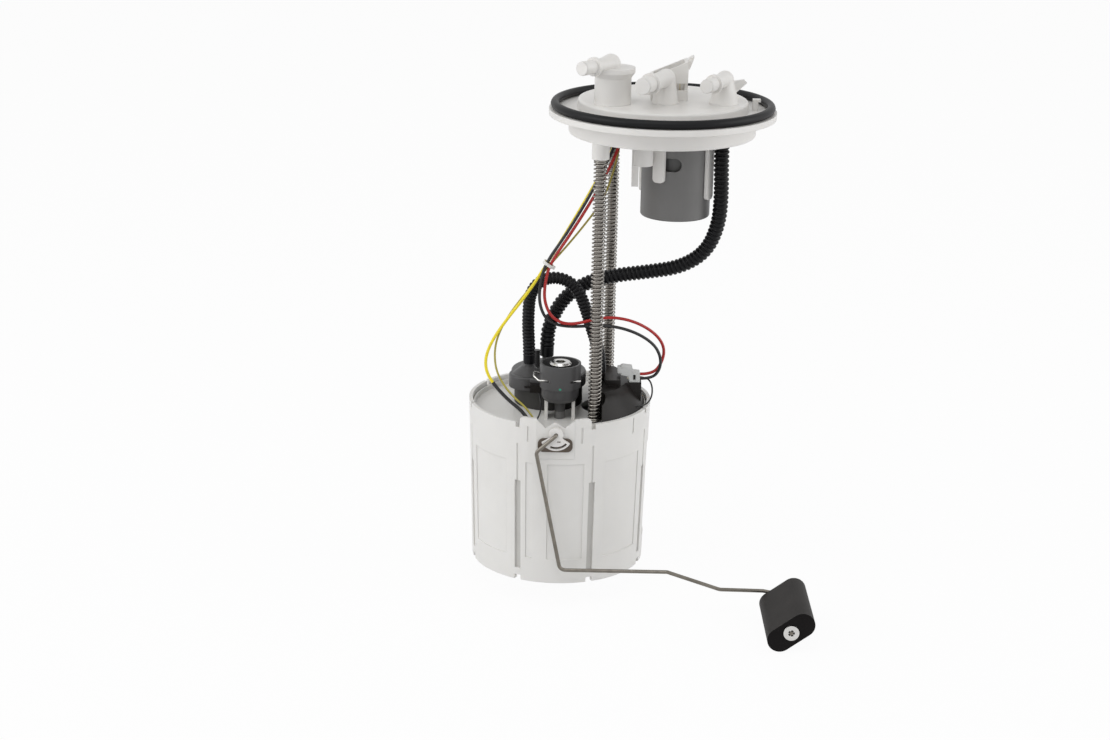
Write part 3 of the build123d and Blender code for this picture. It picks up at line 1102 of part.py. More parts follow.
# Its lid, with a side lobe under the inlet and nipples for both hoses
with BuildPart() as filter_lid:
    with Locations((*FILTER_XY, LID_SKIRT_Z)):
        Cylinder(LID_R, LID_TOP_Z - LID_SKIRT_Z, align=UPRIGHT)
    with Locations((*LOBE_XY, LID_SKIRT_Z)):
        Cylinder(LOBE_R, LID_TOP_Z - LID_SKIRT_Z, align=UPRIGHT)
    fillet(filter_lid.edges().group_by(Axis.Z)[-1], radius=1.2)
    inlet_top = CROSSOVER_HOSE[0]
    outlet_top = FEED_HOSE[-1]
    with Locations((*LOBE_XY, LID_TOP_Z)):
        Cone(LOBE_CONE[0], LOBE_CONE[1], LOBE_CONE[2], align=UPRIGHT)
    with Locations((inlet_top[0], inlet_top[1], LID_TOP_Z)):
        Cylinder(LID_NIPPLE_R, inlet_top[2] - LID_TOP_Z, align=UPRIGHT)
    with Locations((outlet_top[0], outlet_top[1], LID_TOP_Z)):
        Cone(6.0, LID_NIPPLE_R + 0.6, 4.0, align=UPRIGHT)
        Cylinder(LID_NIPPLE_R, outlet_top[2] - LID_TOP_Z, align=UPRIGHT)
    with Locations((*PILLAR_XY, LID_TOP_Z)):
        Cone(3.0, 2.0, 3.0, align=UPRIGHT)
        Cylinder(2.0, PILLAR_TOP_Z - LID_TOP_Z, align=UPRIGHT)
    with Locations((*FILTER_XY, LID_SKIRT_Z)):
        Cylinder(FILTER_R, FILTER_TOP_Z - LID_SKIRT_Z, align=UPRIGHT, mode=Mode.SUBTRACT)
    with Locations((*CUP_XY, LID_SKIRT_Z)):
        Cylinder(CUP_R, LID_TOP_Z - LID_SKIRT_Z, align=UPRIGHT, mode=Mode.SUBTRACT)
    for top in (inlet_top, outlet_top):
        with Locations((top[0], top[1], FILTER_TOP_Z)):
            Cylinder(HOSE_BORE_R, top[2] - FILTER_TOP_Z, align=UPRIGHT, mode=Mode.SUBTRACT)
    with Locations(Location((inlet_top[0], inlet_top[1], FILTER_TOP_Z), (0, 0, 25))):
        Box(12, 2.4, 2.4, align=(Align.MIN, Align.CENTER, Align.MIN), mode=Mode.SUBTRACT)
filter_lid.part.label = "filter_lid"
export_step(filter_lid.part, "parts/filter_lid.step")

# Pleated paper standing in the deep bowl
with BuildPart() as filter_element:
    with BuildSketch(Plane.XY.offset(ELEMENT_Z[0])):
        with Locations(FILTER_XY):
            Circle(ELEMENT_R[1] - PLEAT_DEPTH)
            with PolarLocations(ELEMENT_R[1] - PLEAT_DEPTH / 2 - 0.5, PLEATS):
                Rectangle(PLEAT_DEPTH + 1, PLEAT_W)
            Circle(ELEMENT_R[0], mode=Mode.SUBTRACT)
    extrude(amount=ELEMENT_Z[1] - ELEMENT_Z[0])
filter_element.part.label = "filter_element"
export_step(filter_element.part, "parts/filter_element.step")

# Moulded clip beside the lobe that takes the filter's earth lead, with its blade
with BuildPart() as earth_clip:
    with Locations((*CLIP_BLOCK_XY, CLIP_BLOCK_Z[0])):
        Box(*CLIP_BLOCK_SIZE, CLIP_BLOCK_Z[1] - CLIP_BLOCK_Z[0], align=UPRIGHT)
    with Locations((CLIP_BLOCK_XY[0] - CLIP_BLOCK_SIZE[0] / 2, CLIP_BLOCK_XY[1] - 1.2, -162.0)):
        Box(3.4, 2.4, 0.8, align=(Align.MAX, Align.CENTER, Align.CENTER))
    with Locations((*FILTER_XY, LID_SKIRT_Z)):
        Cylinder(LID_R, LID_TOP_Z - LID_SKIRT_Z, align=UPRIGHT, mode=Mode.SUBTRACT)
    with Locations((*LOBE_XY, LID_SKIRT_Z)):
        Cylinder(LOBE_R, LID_TOP_Z - LID_SKIRT_Z, align=UPRIGHT, mode=Mode.SUBTRACT)
earth_clip.part.label = "earth_clip"
export_step(earth_clip.part, "parts/earth_clip.step")

# Regulator's cup, stepped in below, with its spout to the jet pump and slots for the clip
with BuildPart() as regulator_cup:
    with BuildSketch(turned(CUP_XY)):
        with BuildLine():
            Polyline(
                (0, CUP_BOTTOM_Z), (CUP_LOW_R - 1.5, CUP_BOTTOM_Z), (CUP_LOW_R, CUP_BOTTOM_Z + 2.5),
                (CUP_LOW_R, CUP_STEP_Z), (CUP_R, CUP_STEP_Z), (CUP_R, CUP_TOP_Z), (CUP_BORE_R, CUP_TOP_Z),
                (CUP_BORE_R, REGULATOR_SEAT_Z), (CUP_SEAL_R, REGULATOR_SEAT_Z), (CUP_SEAL_R, CUP_FLOOR_Z),
                (0, CUP_FLOOR_Z), close=True,
            )
        make_face()
    revolve(axis=upright_axis(CUP_XY))
    with Locations((*SPOUT_XY, SPOUT_Z)):
        Cylinder(SPOUT_R, CUP_BOTTOM_Z - SPOUT_Z, align=UPRIGHT)
        Cylinder(SPOUT_R - 1.2, CUP_FLOOR_Z - SPOUT_Z, align=UPRIGHT, mode=Mode.SUBTRACT)
    for y, side in zip(CLIP_Y, (Align.MAX, Align.MIN)):
        inner_y = y + copysign(CLIP_SLOT[1] / 2, CUP_XY[1] - y)
        with Locations((CUP_XY[0], inner_y, CLIP_Z)):
            Box(2 * CUP_R, *CLIP_SLOT, align=(Align.CENTER, side, Align.CENTER), mode=Mode.SUBTRACT)
regulator_cup.part.label = "regulator_cup"
export_step(regulator_cup.part, "parts/regulator_cup.step")

# Pressure regulator: flanged steel capsule with a hexagon recess in its crown
with BuildPart() as pressure_regulator:
    with Locations((*CUP_XY, REGULATOR_SEAT_Z)):
        Cylinder(REGULATOR_FLANGE[0], REGULATOR_FLANGE[1], align=UPRIGHT)
        Cylinder(REGULATOR_R, REGULATOR_TOP_Z - REGULATOR_SEAT_Z, align=UPRIGHT)
        Cylinder(REGULATOR_NOSE_R, REGULATOR_SEAT_Z - CUP_FLOOR_Z, align=HANGING)
    chamfer(pressure_regulator.edges().sort_by(Axis.Z)[-1], length=1.0)
    with BuildSketch(Plane.XY.offset(REGULATOR_TOP_Z)):
        with Locations(CUP_XY):
            RegularPolygon(REGULATOR_HEX[0], 6)
    extrude(amount=-REGULATOR_HEX[1], mode=Mode.SUBTRACT)
    with Locations((*CUP_XY, CUP_FLOOR_Z)):
        Cylinder(1.5, REGULATOR_SEAT_Z - CUP_FLOOR_Z + 2, align=UPRIGHT, mode=Mode.SUBTRACT)
pressure_regulator.part.label = "pressure_regulator"
export_step(pressure_regulator.part, "parts/pressure_regulator.step")

with BuildPart() as regulator_seal:
    with BuildSketch(Plane.XY.offset(CUP_FLOOR_Z + 1.8)):
        with Locations(CUP_XY):
            Circle(CUP_SEAL_R)
            Circle(REGULATOR_NOSE_R, mode=Mode.SUBTRACT)
    extrude(amount=CUP_SEAL_R - REGULATOR_NOSE_R)
regulator_seal.part.label = "regulator_seal"
export_step(regulator_seal.part, "parts/regulator_seal.step")

# Bent wire clip that keeps the regulator down, its closed end raised for a finger
with BuildPart() as regulator_clip:
    with BuildLine():
        clip_line = FilletPolyline(
            (CLIP_X[1], CLIP_Y[0], CLIP_Z), (CLIP_X[0] + 3, CLIP_Y[0], CLIP_Z),
            (CLIP_X[0], CLIP_Y[0] + 3, CLIP_Z + CLIP_LIFT), (CLIP_X[0], CLIP_Y[1] - 3, CLIP_Z + CLIP_LIFT),
            (CLIP_X[0] + 3, CLIP_Y[1], CLIP_Z), (CLIP_X[1], CLIP_Y[1], CLIP_Z), radius=1.6,
        )
    clip_wire = clip_line.wires()[0]
    with BuildSketch(Plane(origin=clip_wire @ 0, z_dir=clip_wire % 0)):
        Circle(CLIP_WIRE / 2)
    sweep(path=clip_wire)
regulator_clip.part.label = "regulator_clip"
export_step(regulator_clip.part, "parts/regulator_clip.step")

# Two-way plug on the pump cover, tapering to its foot, with a lug over the header block
with BuildPart() as pump_plug:
    with BuildSketch(Plane.XZ.offset(-PLUG_Y[1])):
        with BuildLine():
            Polyline(
                (PLUG_X[1] - PLUG_TAIL_W, PLUG_Z[0]), (PLUG_X[1], PLUG_Z[0]), (PLUG_X[1], PLUG_Z[1]),
                (PLUG_X[0], PLUG_Z[1]), (PLUG_X[0], PLUG_Z[0] + 5), close=True,
            )
        make_face()
    extrude(amount=PLUG_Y[1] - PLUG_Y[0])
    plug_mid_y = (PLUG_Y[0] + PLUG_Y[1]) / 2
    with Locations((PLUG_X[0] + 1, plug_mid_y, PLUG_LUG[1])):
        Box(
            PLUG_X[0] + 1 - PLUG_LUG[0], 5.0, PLUG_LUG[2] - PLUG_LUG[1],
            align=(Align.MAX, Align.CENTER, Align.MIN),
        )
    with Locations((PLUG_X[1] - 4.4, PLUG_Y[0], PLUG_Z[0] + 2.6)):
        Box(1.4, 3.0, 3.0, mode=Mode.SUBTRACT)
    for end in (RED_WIRE[-1], BLACK_WIRE[-1]):
        with Locations((PLUG_X[1] - 1.5, end[1], end[2])):
            Box(6.0, 2.2, TERMINAL_T, align=(Align.MAX, Align.CENTER, Align.CENTER), mode=Mode.SUBTRACT)
pump_plug.part.label = "pump_plug"
export_step(pump_plug.part, "parts/pump_plug.step")

with BuildPart() as plug_terminals:
    for end in (RED_WIRE[-1], BLACK_WIRE[-1]):
        with Locations((PLUG_X[1] - 1.5, end[1], end[2])):
            Box(6.0, 2.2, TERMINAL_T, align=(Align.MAX, Align.CENTER, Align.CENTER))
plug_terminals.part.label = "plug_terminals"
export_step(plug_terminals.part, "parts/plug_terminals.step")

# Sender's base plate in the pot's window, with two peaks and the arm's bearing
with BuildPart() as sender_base:
    with BuildSketch(Plane.XZ.offset(-PLATE_Y[1])):
        with BuildLine():
            Polyline((WINDOW_X[0], WINDOW_BOTTOM_Z), (WINDOW_X[1], WINDOW_BOTTOM_Z), *PLATE_TOP, close=True)
        make_face()
    extrude(amount=PLATE_Y[1] - PLATE_Y[0])
    with Locations(Plane.XZ.offset(-PLATE_Y[1])):
        with Locations(PIVOT_XZ):
            Cylinder(BEARING_BOSS_R, BEARING_L, align=HANGING)
    with Locations(Plane.XZ.offset(-PLATE_Y[0])):
        with Locations(PIVOT_XZ):
            Cylinder(ARM_D / 2 + RUNNING, 10, mode=Mode.SUBTRACT)
sender_base.part.label = "sender_base"
export_step(sender_base.part, "parts/sender_base.step")

# Ceramic card that the wiper runs over
with BuildPart() as resistor_card:
    with BuildSketch(Plane.XZ.offset(-PLATE_Y[0])):
        with Locations(((CARD_X[0] + CARD_X[1]) / 2, (CARD_Z[0] + CARD_Z[1]) / 2)):
            RectangleRounded(CARD_X[1] - CARD_X[0], CARD_Z[1] - CARD_Z[0], CARD_CORNER_R)
    extrude(amount=CARD_T)
resistor_card.part.label = "resistor_card"
export_step(resistor_card.part, "parts/resistor_card.step")

with BuildPart() as sender_terminals:
    for route in (YELLOW_WIRE, TAN_WIRE):
        with Locations(Plane(origin=route[-1], z_dir=Vector(*route[-1]) - Vector(*route[-2]))):
            Cylinder(TERMINAL_R, TERMINAL_L, align=UPRIGHT)
    split(bisect_by=Plane.XY.offset(DECK_Z), keep=Keep.TOP)
sender_terminals.part.label = "sender_terminals"
export_step(sender_terminals.part, "parts/sender_terminals.step")

# ---------------------------------------------------------------- sender arm and float

# Fan that carries the wiper, with an arc window inside its thin rim
with BuildPart() as arm_carrier:
    with BuildSketch(Plane.XZ.offset(-CARRIER_Y[1])):
        with Locations(PIVOT_XZ):
            Circle(CARRIER_HUB_R)
        with BuildLine():
            rim_arc = CenterArc(PIVOT_XZ, CARRIER_R, CARRIER_SPAN[0], CARRIER_SPAN[1] - CARRIER_SPAN[0])
            Line(PIVOT_XZ, rim_arc @ 0)
            Line(PIVOT_XZ, rim_arc @ 1)
        make_face()
        with BuildLine():
            window_low_r, window_high_r, window_start, window_size = CARRIER_WINDOW
            window_low = CenterArc(PIVOT_XZ, window_low_r, window_start, window_size)
            window_high = CenterArc(PIVOT_XZ, window_high_r, window_start, window_size)
            Line(window_low @ 0, window_high @ 0)
            Line(window_low @ 1, window_high @ 1)
        make_face(mode=Mode.SUBTRACT)
        with Locations(PIVOT_XZ):
            Circle(ARM_D / 2, mode=Mode.SUBTRACT)
            with Locations(CARRIER_SLOT[:2]):
                SlotOverall(*CARRIER_SLOT[2:], mode=Mode.SUBTRACT)
    extrude(amount=CARRIER_Y[1] - CARRIER_Y[0])
arm_carrier.part.label = "arm_carrier"
export_step(arm_carrier.part, "parts/arm_carrier.step")

# Contact finger under the fan
with BuildPart() as wiper:
    with BuildSketch(Plane.XZ.offset(-CARRIER_Y[1])):
        with Locations(Location((*PIVOT_XZ, 0), (0, 0, (CARRIER_SPAN[0] + CARRIER_SPAN[1]) / 2))):
            with Locations(((WIPER[0] + WIPER[1]) / 2, 0)):
                Rectangle(WIPER[1] - WIPER[0], WIPER[2])
    extrude(amount=CARRIER_Y[1] - PLATE_Y[0] + CARD_T + RUNNING)
wiper.part.label = "wiper"
export_step(wiper.part, "parts/wiper.step")

# One bent steel wire, from the bearing down and across to the float
with BuildPart() as float_arm:
    with BuildLine():
        arm_points = [(x, SENDER_Y + behind, z) for x, behind, z in ARM_ROUTE]
        arm_points.insert(0, (PIVOT_XZ[0], ARM_END_Y[0], PIVOT_XZ[1]))
        arm_points.append((FLOAT_XZ[0], ARM_END_Y[1], FLOAT_XZ[1]))
        arm_line = FilletPolyline(*arm_points, radius=ARM_BENDS)
    arm_wire = arm_line.wires()[0]
    with BuildSketch(Plane(origin=arm_wire @ 0, z_dir=arm_wire % 0)):
        Circle(ARM_D / 2)
    sweep(path=arm_wire)
float_arm.part.label = "float_arm"
export_step(float_arm.part, "parts/float_arm.step")

# Push-on nut on the arm's end
with BuildPart() as push_nut:
    with Locations(Plane.XZ.offset(-FLOAT_Y[0] + NUT_GAP)):
        with Locations(FLOAT_XZ):
            Cylinder(NUT_R, NUT_T, align=UPRIGHT)
            Cylinder(ARM_D / 2, NUT_T, align=UPRIGHT, mode=Mode.SUBTRACT)
push_nut.part.label = "push_nut"
export_step(push_nut.part, "parts/push_nut.step")

# Float, free to turn on the arm's end
with BuildPart() as float_body:
    with BuildSketch(Plane.XZ.offset(-FLOAT_Y[1])):
        with Locations(Location((*FLOAT_XZ, 0), (0, 0, FLOAT_TILT))):
            SlotOverall(*FLOAT_SECTION)
        with Locations(FLOAT_XZ):
            Circle(ARM_D / 2 + RUNNING, mode=Mode.SUBTRACT)
    extrude(amount=FLOAT_Y[1] - FLOAT_Y[0])
float_body.part.label = "float"
export_step(float_body.part, "parts/float.step")
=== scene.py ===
import json
from math import cos, pi, radians, sin

import bmesh
import bpy
from mathutils import Matrix, Vector

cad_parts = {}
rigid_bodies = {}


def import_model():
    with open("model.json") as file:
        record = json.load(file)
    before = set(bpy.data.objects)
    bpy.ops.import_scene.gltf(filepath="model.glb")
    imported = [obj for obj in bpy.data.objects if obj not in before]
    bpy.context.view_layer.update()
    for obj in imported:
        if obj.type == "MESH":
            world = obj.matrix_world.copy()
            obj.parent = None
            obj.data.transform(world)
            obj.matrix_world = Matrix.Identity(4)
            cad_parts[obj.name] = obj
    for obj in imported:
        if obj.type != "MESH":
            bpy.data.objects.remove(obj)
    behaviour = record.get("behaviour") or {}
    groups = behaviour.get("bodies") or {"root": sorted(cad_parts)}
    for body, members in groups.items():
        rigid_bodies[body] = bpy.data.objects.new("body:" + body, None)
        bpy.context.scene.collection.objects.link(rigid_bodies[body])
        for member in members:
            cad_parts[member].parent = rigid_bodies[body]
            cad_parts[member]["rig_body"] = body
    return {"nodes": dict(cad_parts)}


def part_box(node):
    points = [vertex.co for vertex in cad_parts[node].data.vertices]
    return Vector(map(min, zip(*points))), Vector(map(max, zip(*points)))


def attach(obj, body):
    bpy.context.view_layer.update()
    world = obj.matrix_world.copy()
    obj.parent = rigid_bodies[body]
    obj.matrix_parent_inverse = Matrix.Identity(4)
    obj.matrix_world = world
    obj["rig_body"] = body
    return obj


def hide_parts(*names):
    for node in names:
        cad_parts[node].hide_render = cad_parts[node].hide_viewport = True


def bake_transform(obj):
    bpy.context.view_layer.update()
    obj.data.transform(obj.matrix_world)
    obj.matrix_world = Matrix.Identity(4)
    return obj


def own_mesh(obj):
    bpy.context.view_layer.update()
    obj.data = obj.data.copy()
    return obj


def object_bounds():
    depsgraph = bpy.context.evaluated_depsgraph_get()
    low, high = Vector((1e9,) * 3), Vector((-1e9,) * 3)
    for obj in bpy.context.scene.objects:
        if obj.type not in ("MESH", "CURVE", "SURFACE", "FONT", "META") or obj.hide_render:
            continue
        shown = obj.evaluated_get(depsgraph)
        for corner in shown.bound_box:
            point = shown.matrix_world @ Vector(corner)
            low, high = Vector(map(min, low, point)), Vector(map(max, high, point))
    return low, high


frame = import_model()
cad_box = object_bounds()
scene = bpy.context.scene
scene.view_settings.view_transform = "Standard"

# ------------------------------------------------------------------ where it is looked at
# A long lens stands a little over a metre in front of the module and somewhat above it, tipped
# down and very slightly rolled.
LENS_MM = 66.71
SENSOR_MM = 36.0
LENS_PLACE = (-0.05919, -1.17286, 0.21992)
TIPPED_DOWN_DEG = 17.744
ROLLED_DEG = 1.074
view = bpy.data.objects.new("view", bpy.data.cameras.new("view"))
view.data.lens = LENS_MM
view.data.sensor_width = SENSOR_MM
view.data.clip_start = 0.01
tipped = Matrix.Rotation(radians(90 - TIPPED_DOWN_DEG), 4, "X")
rolled = Matrix.Rotation(radians(ROLLED_DEG), 4, "Z")
view.matrix_world = Matrix.Translation(LENS_PLACE) @ tipped @ rolled
scene.collection.objects.link(view)
scene.camera = view

# Large diffusers stand to the left, to the right and overhead in front, in an evenly lit white room.
# Each has its place, its width and its power.
DIFFUSERS = (
    ("diffuser_left", (-1.3, -0.5, 0.5), 1.2, 9.0),
    ("diffuser_right", (1.4, -0.2, 0.3), 1.2, 8.0),
    ("diffuser_overhead", (-0.2, -0.9, 1.5), 1.0, 6.0),
)
middle = (cad_box[0] + cad_box[1]) / 2
for name, place, width, power in DIFFUSERS:
    lamp = bpy.data.objects.new(name, bpy.data.lights.new(name, "AREA"))
    lamp.data.size = width
    lamp.data.energy = power
    lamp.location = place
    lamp.rotation_euler = (Vector(place) - middle).to_track_quat("Z", "Y").to_euler()
    scene.collection.objects.link(lamp)


def seen_white(nodes, links, dim, share, in_gloss=0.7):
    """Mixes a dim shader with plain white for the rays that show it: to the eye, in gloss, through glass."""
    rays = nodes.new("ShaderNodeLightPath")
    shown = nodes.new("ShaderNodeMath")
    shown.operation = "MAXIMUM"
    links.new(rays.outputs["Is Camera Ray"], shown.inputs[0])
    glossy = nodes.new("ShaderNodeMath")
    glossy.operation = "MAXIMUM"
    links.new(rays.outputs["Is Glossy Ray"], glossy.inputs[0])
    links.new(rays.outputs["Is Transmission Ray"], glossy.inputs[1])
    reflected = nodes.new("ShaderNodeMath")
    reflected.operation = "MULTIPLY"
    reflected.inputs[1].default_value = in_gloss
    links.new(glossy.outputs[0], reflected.inputs[0])
    links.new(reflected.outputs[0], shown.inputs[1])
    part = nodes.new("ShaderNodeMath")
    part.operation = "MULTIPLY"
    part.inputs[1].default_value = share
    links.new(shown.outputs[0], part.inputs[0])
    white = nodes.new("ShaderNodeEmission")
    white.inputs["Strength"].default_value = 1.0
    mixed = nodes.new("ShaderNodeMixShader")
    links.new(part.outputs[0], mixed.inputs[0])
    links.new(dim, mixed.inputs[1])
    links.new(white.outputs[0], mixed.inputs[2])
    return mixed.outputs[0]


ROOM_LEVEL = 0.45
room = bpy.data.worlds.new("white_room")
room.use_nodes = True
room_nodes, room_links = room.node_tree.nodes, room.node_tree.links
room_light = room_nodes["Background"]
room_light.inputs["Color"].default_value = (1, 1, 1, 1)
room_light.inputs["Strength"].default_value = ROOM_LEVEL
room_links.new(seen_white(room_nodes, room_links, room_light.outputs[0], 1.0),
               room_nodes["World Output"].inputs["Surface"])
scene.world = room

# The float hangs lowest, just clear of a pale sweep of paper.
PAPER_GAP = 0.0008
PAPER_HALF_W = 8.0
PAPER_WHITE_SHARE = 0.95
paper_bm = bmesh.new()
bmesh.ops.create_grid(paper_bm, x_segments=1, y_segments=1, size=PAPER_HALF_W,
                      matrix=Matrix.Translation((0, 0, cad_box[0].z - PAPER_GAP)))
paper_mesh = bpy.data.meshes.new("paper")
paper_bm.to_mesh(paper_mesh)
paper_bm.free()
paper_finish = bpy.data.materials.new("paper")
paper_finish.use_nodes = True
paper_nodes, paper_links = paper_finish.node_tree.nodes, paper_finish.node_tree.links
paper_shade = paper_nodes["Principled BSDF"]
paper_shade.inputs["Base Color"].default_value = (0.86, 0.86, 0.87, 1)
paper_shade.inputs["Roughness"].default_value = 0.9
paper_links.new(seen_white(paper_nodes, paper_links, paper_shade.outputs[0], PAPER_WHITE_SHARE),
                paper_nodes["Material Output"].inputs["Surface"])
paper_mesh.materials.append(paper_finish)
paper = bpy.data.objects.new("paper", paper_mesh)
scene.collection.objects.link(paper)

# ------------------------------------------------------------------ tank flange
# The flange is one injection moulding in natural acetal: rim, skirt and plateau, the three port heads
# that stand on it, and the legs below that hold the vent valve. It is finely spark-grained.
WELD_GAP = 2e-6


def moulded(name, colour, gloss, mottle=0.05, grain=0.00002, soft_edge=0.0004, depth=0.0, shine=0.5):
    """Moulded plastic: flow mottling in colour and gloss, a fine grain, and edges that catch light."""
    finish = bpy.data.materials.new(name)
    finish.use_nodes = True
    nodes, links = finish.node_tree.nodes, finish.node_tree.links
    shade = nodes["Principled BSDF"]
    place = nodes.new("ShaderNodeTexCoord")
    flow = nodes.new("ShaderNodeTexNoise")
    flow.inputs["Scale"].default_value = 45.0
    flow.inputs["Detail"].default_value = 4.0
    flow.inputs["Distortion"].default_value = 0.6
    links.new(place.outputs["Object"], flow.inputs["Vector"])
    tint = nodes.new("ShaderNodeValToRGB")
    tint.color_ramp.elements[0].position = 0.3
    tint.color_ramp.elements[1].position = 0.7
    tint.color_ramp.elements[0].color = (*[c * (1 - mottle) for c in colour], 1)
    tint.color_ramp.elements[1].color = (*[min(c * (1 + mottle), 1) for c in colour], 1)
    links.new(flow.outputs["Fac"], tint.inputs["Fac"])
    links.new(tint.outputs["Color"], shade.inputs["Base Color"])
    sheen = nodes.new("ShaderNodeMapRange")
    sheen.inputs["To Min"].default_value = gloss * 0.85
    sheen.inputs["To Max"].default_value = gloss * 1.15
    links.new(flow.outputs["Fac"], sheen.inputs["Value"])
    links.new(sheen.outputs["Result"], shade.inputs["Roughness"])
    spark = nodes.new("ShaderNodeTexNoise")
    spark.inputs["Scale"].default_value = 2600.0
    spark.inputs["Detail"].default_value = 3.0
    links.new(place.outputs["Object"], spark.inputs["Vector"])
    bump = nodes.new("ShaderNodeBump")
    bump.inputs["Strength"].default_value = 0.6
    bump.inputs["Distance"].default_value = grain
    links.new(spark.outputs["Fac"], bump.inputs["Height"])
    if soft_edge:
        edge = nodes.new("ShaderNodeBevel")
        edge.samples = 4
        edge.inputs["Radius"].default_value = soft_edge
        links.new(edge.outputs["Normal"], bump.inputs["Normal"])
    links.new(bump.outputs["Normal"], shade.inputs["Normal"])
    shade.inputs["Specular IOR Level"].default_value = shine
    if depth:
        shade.inputs["Subsurface Weight"].default_value = depth
        shade.inputs["Subsurface Radius"].default_value = (1.0, 0.95, 0.85)
        shade.inputs["Subsurface Scale"].default_value = 0.0015
    return finish


def welded(node):
    """A copy of a CAD node's mesh with its loose triangles welded into one skin."""
    bm = bmesh.new()
    bm.from_mesh(frame["nodes"][node].data)
    bmesh.ops.remove_doubles(bm, verts=bm.verts, dist=WELD_GAP)
    return bm


def make_piece(bm, name, finish, crease=32):
    """An object from a bmesh: smooth where it bends gently, creased where it turns a corner."""
    mesh = bpy.data.meshes.new(name)
    bm.to_mesh(mesh)
    bm.free()
    if "custom_normal" in mesh.attributes:
        mesh.attributes.remove(mesh.attributes["custom_normal"])
    mesh.shade_smooth()
    mesh.set_sharp_from_angle(angle=radians(crease))
    mesh.materials.append(finish)
    piece = bpy.data.objects.new(name, mesh)
    scene.collection.objects.link(piece)
    return piece


def fitted(piece, *nodes):
    """The piece stands for these CAD nodes: it rides with the first one's body, and the nodes are hidden."""
    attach(piece, frame["nodes"][nodes[0]]["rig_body"])
    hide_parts(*nodes)
    return piece


def skinned(node, finish, crease=32):
    """A CAD node's own shape as one smooth skin, with normals that favour its larger faces."""
    piece = make_piece(welded(node), node + "_skin", finish, crease)
    even = piece.modifiers.new("even_shading", "WEIGHTED_NORMAL")
    even.keep_sharp = True
    return fitted(piece, node)


natural_acetal = moulded("natural_acetal", (0.80, 0.785, 0.76), 0.38, mottle=0.02, depth=0.12)
for node in ("flange", "flange_ports", "valve_cage", "port_plugs", "harness_plug"):
    skinned(node, natural_acetal)

# ------------------------------------------------------------------ face seal
# A moulded fluoroelastomer ring of 5 mm section lies loose on the rim until the lock ring presses it.
# Fine flash lines run round it where the mould parted.
SEAL_R = 0.062
SEAL_SECTION_R = 0.0025
RIM_TOP = 0.0035
FLASH_H = 0.00008


def rubber(name, colour, roughness, pores=0.00002, pore_scale=1800.0, bloom=0.1, shine=0.2):
    """Matt rubber: pale bloom in patches over a finely pitted skin."""
    finish = bpy.data.materials.new(name)
    finish.use_nodes = True
    nodes, links = finish.node_tree.nodes, finish.node_tree.links
    shade = nodes["Principled BSDF"]
    place = nodes.new("ShaderNodeTexCoord")
    patch = nodes.new("ShaderNodeTexNoise")
    patch.inputs["Scale"].default_value = 90.0
    patch.inputs["Detail"].default_value = 5.0
    links.new(place.outputs["Object"], patch.inputs["Vector"])
    tint = nodes.new("ShaderNodeValToRGB")
    tint.color_ramp.elements[0].position = 0.35
    tint.color_ramp.elements[1].position = 0.75
    tint.color_ramp.elements[0].color = (*colour, 1)
    tint.color_ramp.elements[1].color = (*[c * (1 + bloom) + 0.004 * bloom for c in colour], 1)
    links.new(patch.outputs["Fac"], tint.inputs["Fac"])
    links.new(tint.outputs["Color"], shade.inputs["Base Color"])
    pits = nodes.new("ShaderNodeTexNoise")
    pits.inputs["Scale"].default_value = pore_scale
    pits.inputs["Detail"].default_value = 2.0
    links.new(place.outputs["Object"], pits.inputs["Vector"])
    bump = nodes.new("ShaderNodeBump")
    bump.inputs["Distance"].default_value = pores
    bump.inputs["Strength"].default_value = 0.7
    links.new(pits.outputs["Fac"], bump.inputs["Height"])
    links.new(bump.outputs["Normal"], shade.inputs["Normal"])
    rough = nodes.new("ShaderNodeMapRange")
    rough.inputs["To Min"].default_value = roughness * 0.9
    rough.inputs["To Max"].default_value = min(roughness * 1.15, 1.0)
    links.new(patch.outputs["Fac"], rough.inputs["Value"])
    links.new(rough.outputs["Result"], shade.inputs["Roughness"])
    shade.inputs["Specular IOR Level"].default_value = shine
    return finish


black_seal_rubber = rubber("black_seal_rubber", (0.006, 0.006, 0.007), 0.42)
seal_bm = bmesh.new()
section = bmesh.ops.create_circle(
    seal_bm, segments=24, radius=SEAL_SECTION_R,
    matrix=Matrix.Translation((SEAL_R, 0, RIM_TOP + SEAL_SECTION_R)) @ Matrix.Rotation(pi / 2, 4, "X"),
)
flash = [v for v in section["verts"] if abs(v.co.z - RIM_TOP - SEAL_SECTION_R) < 1e-6]
for vert in flash:
    vert.co.x += FLASH_H if vert.co.x > SEAL_R else -FLASH_H
bmesh.ops.spin(seal_bm, geom=section["verts"] + list(seal_bm.edges), cent=(0, 0, 0), axis=(0, 0, 1),
               angle=2 * pi, steps=144, use_merge=True)
bmesh.ops.recalc_face_normals(seal_bm, faces=seal_bm.faces)
fitted(make_piece(seal_bm, "face_seal", black_seal_rubber), "flange_seal")

# ------------------------------------------------------------------ electrical socket
# Four brass blades, tinned bright, stand in the socket and pass through its floor, where the mould
# was closed round them.


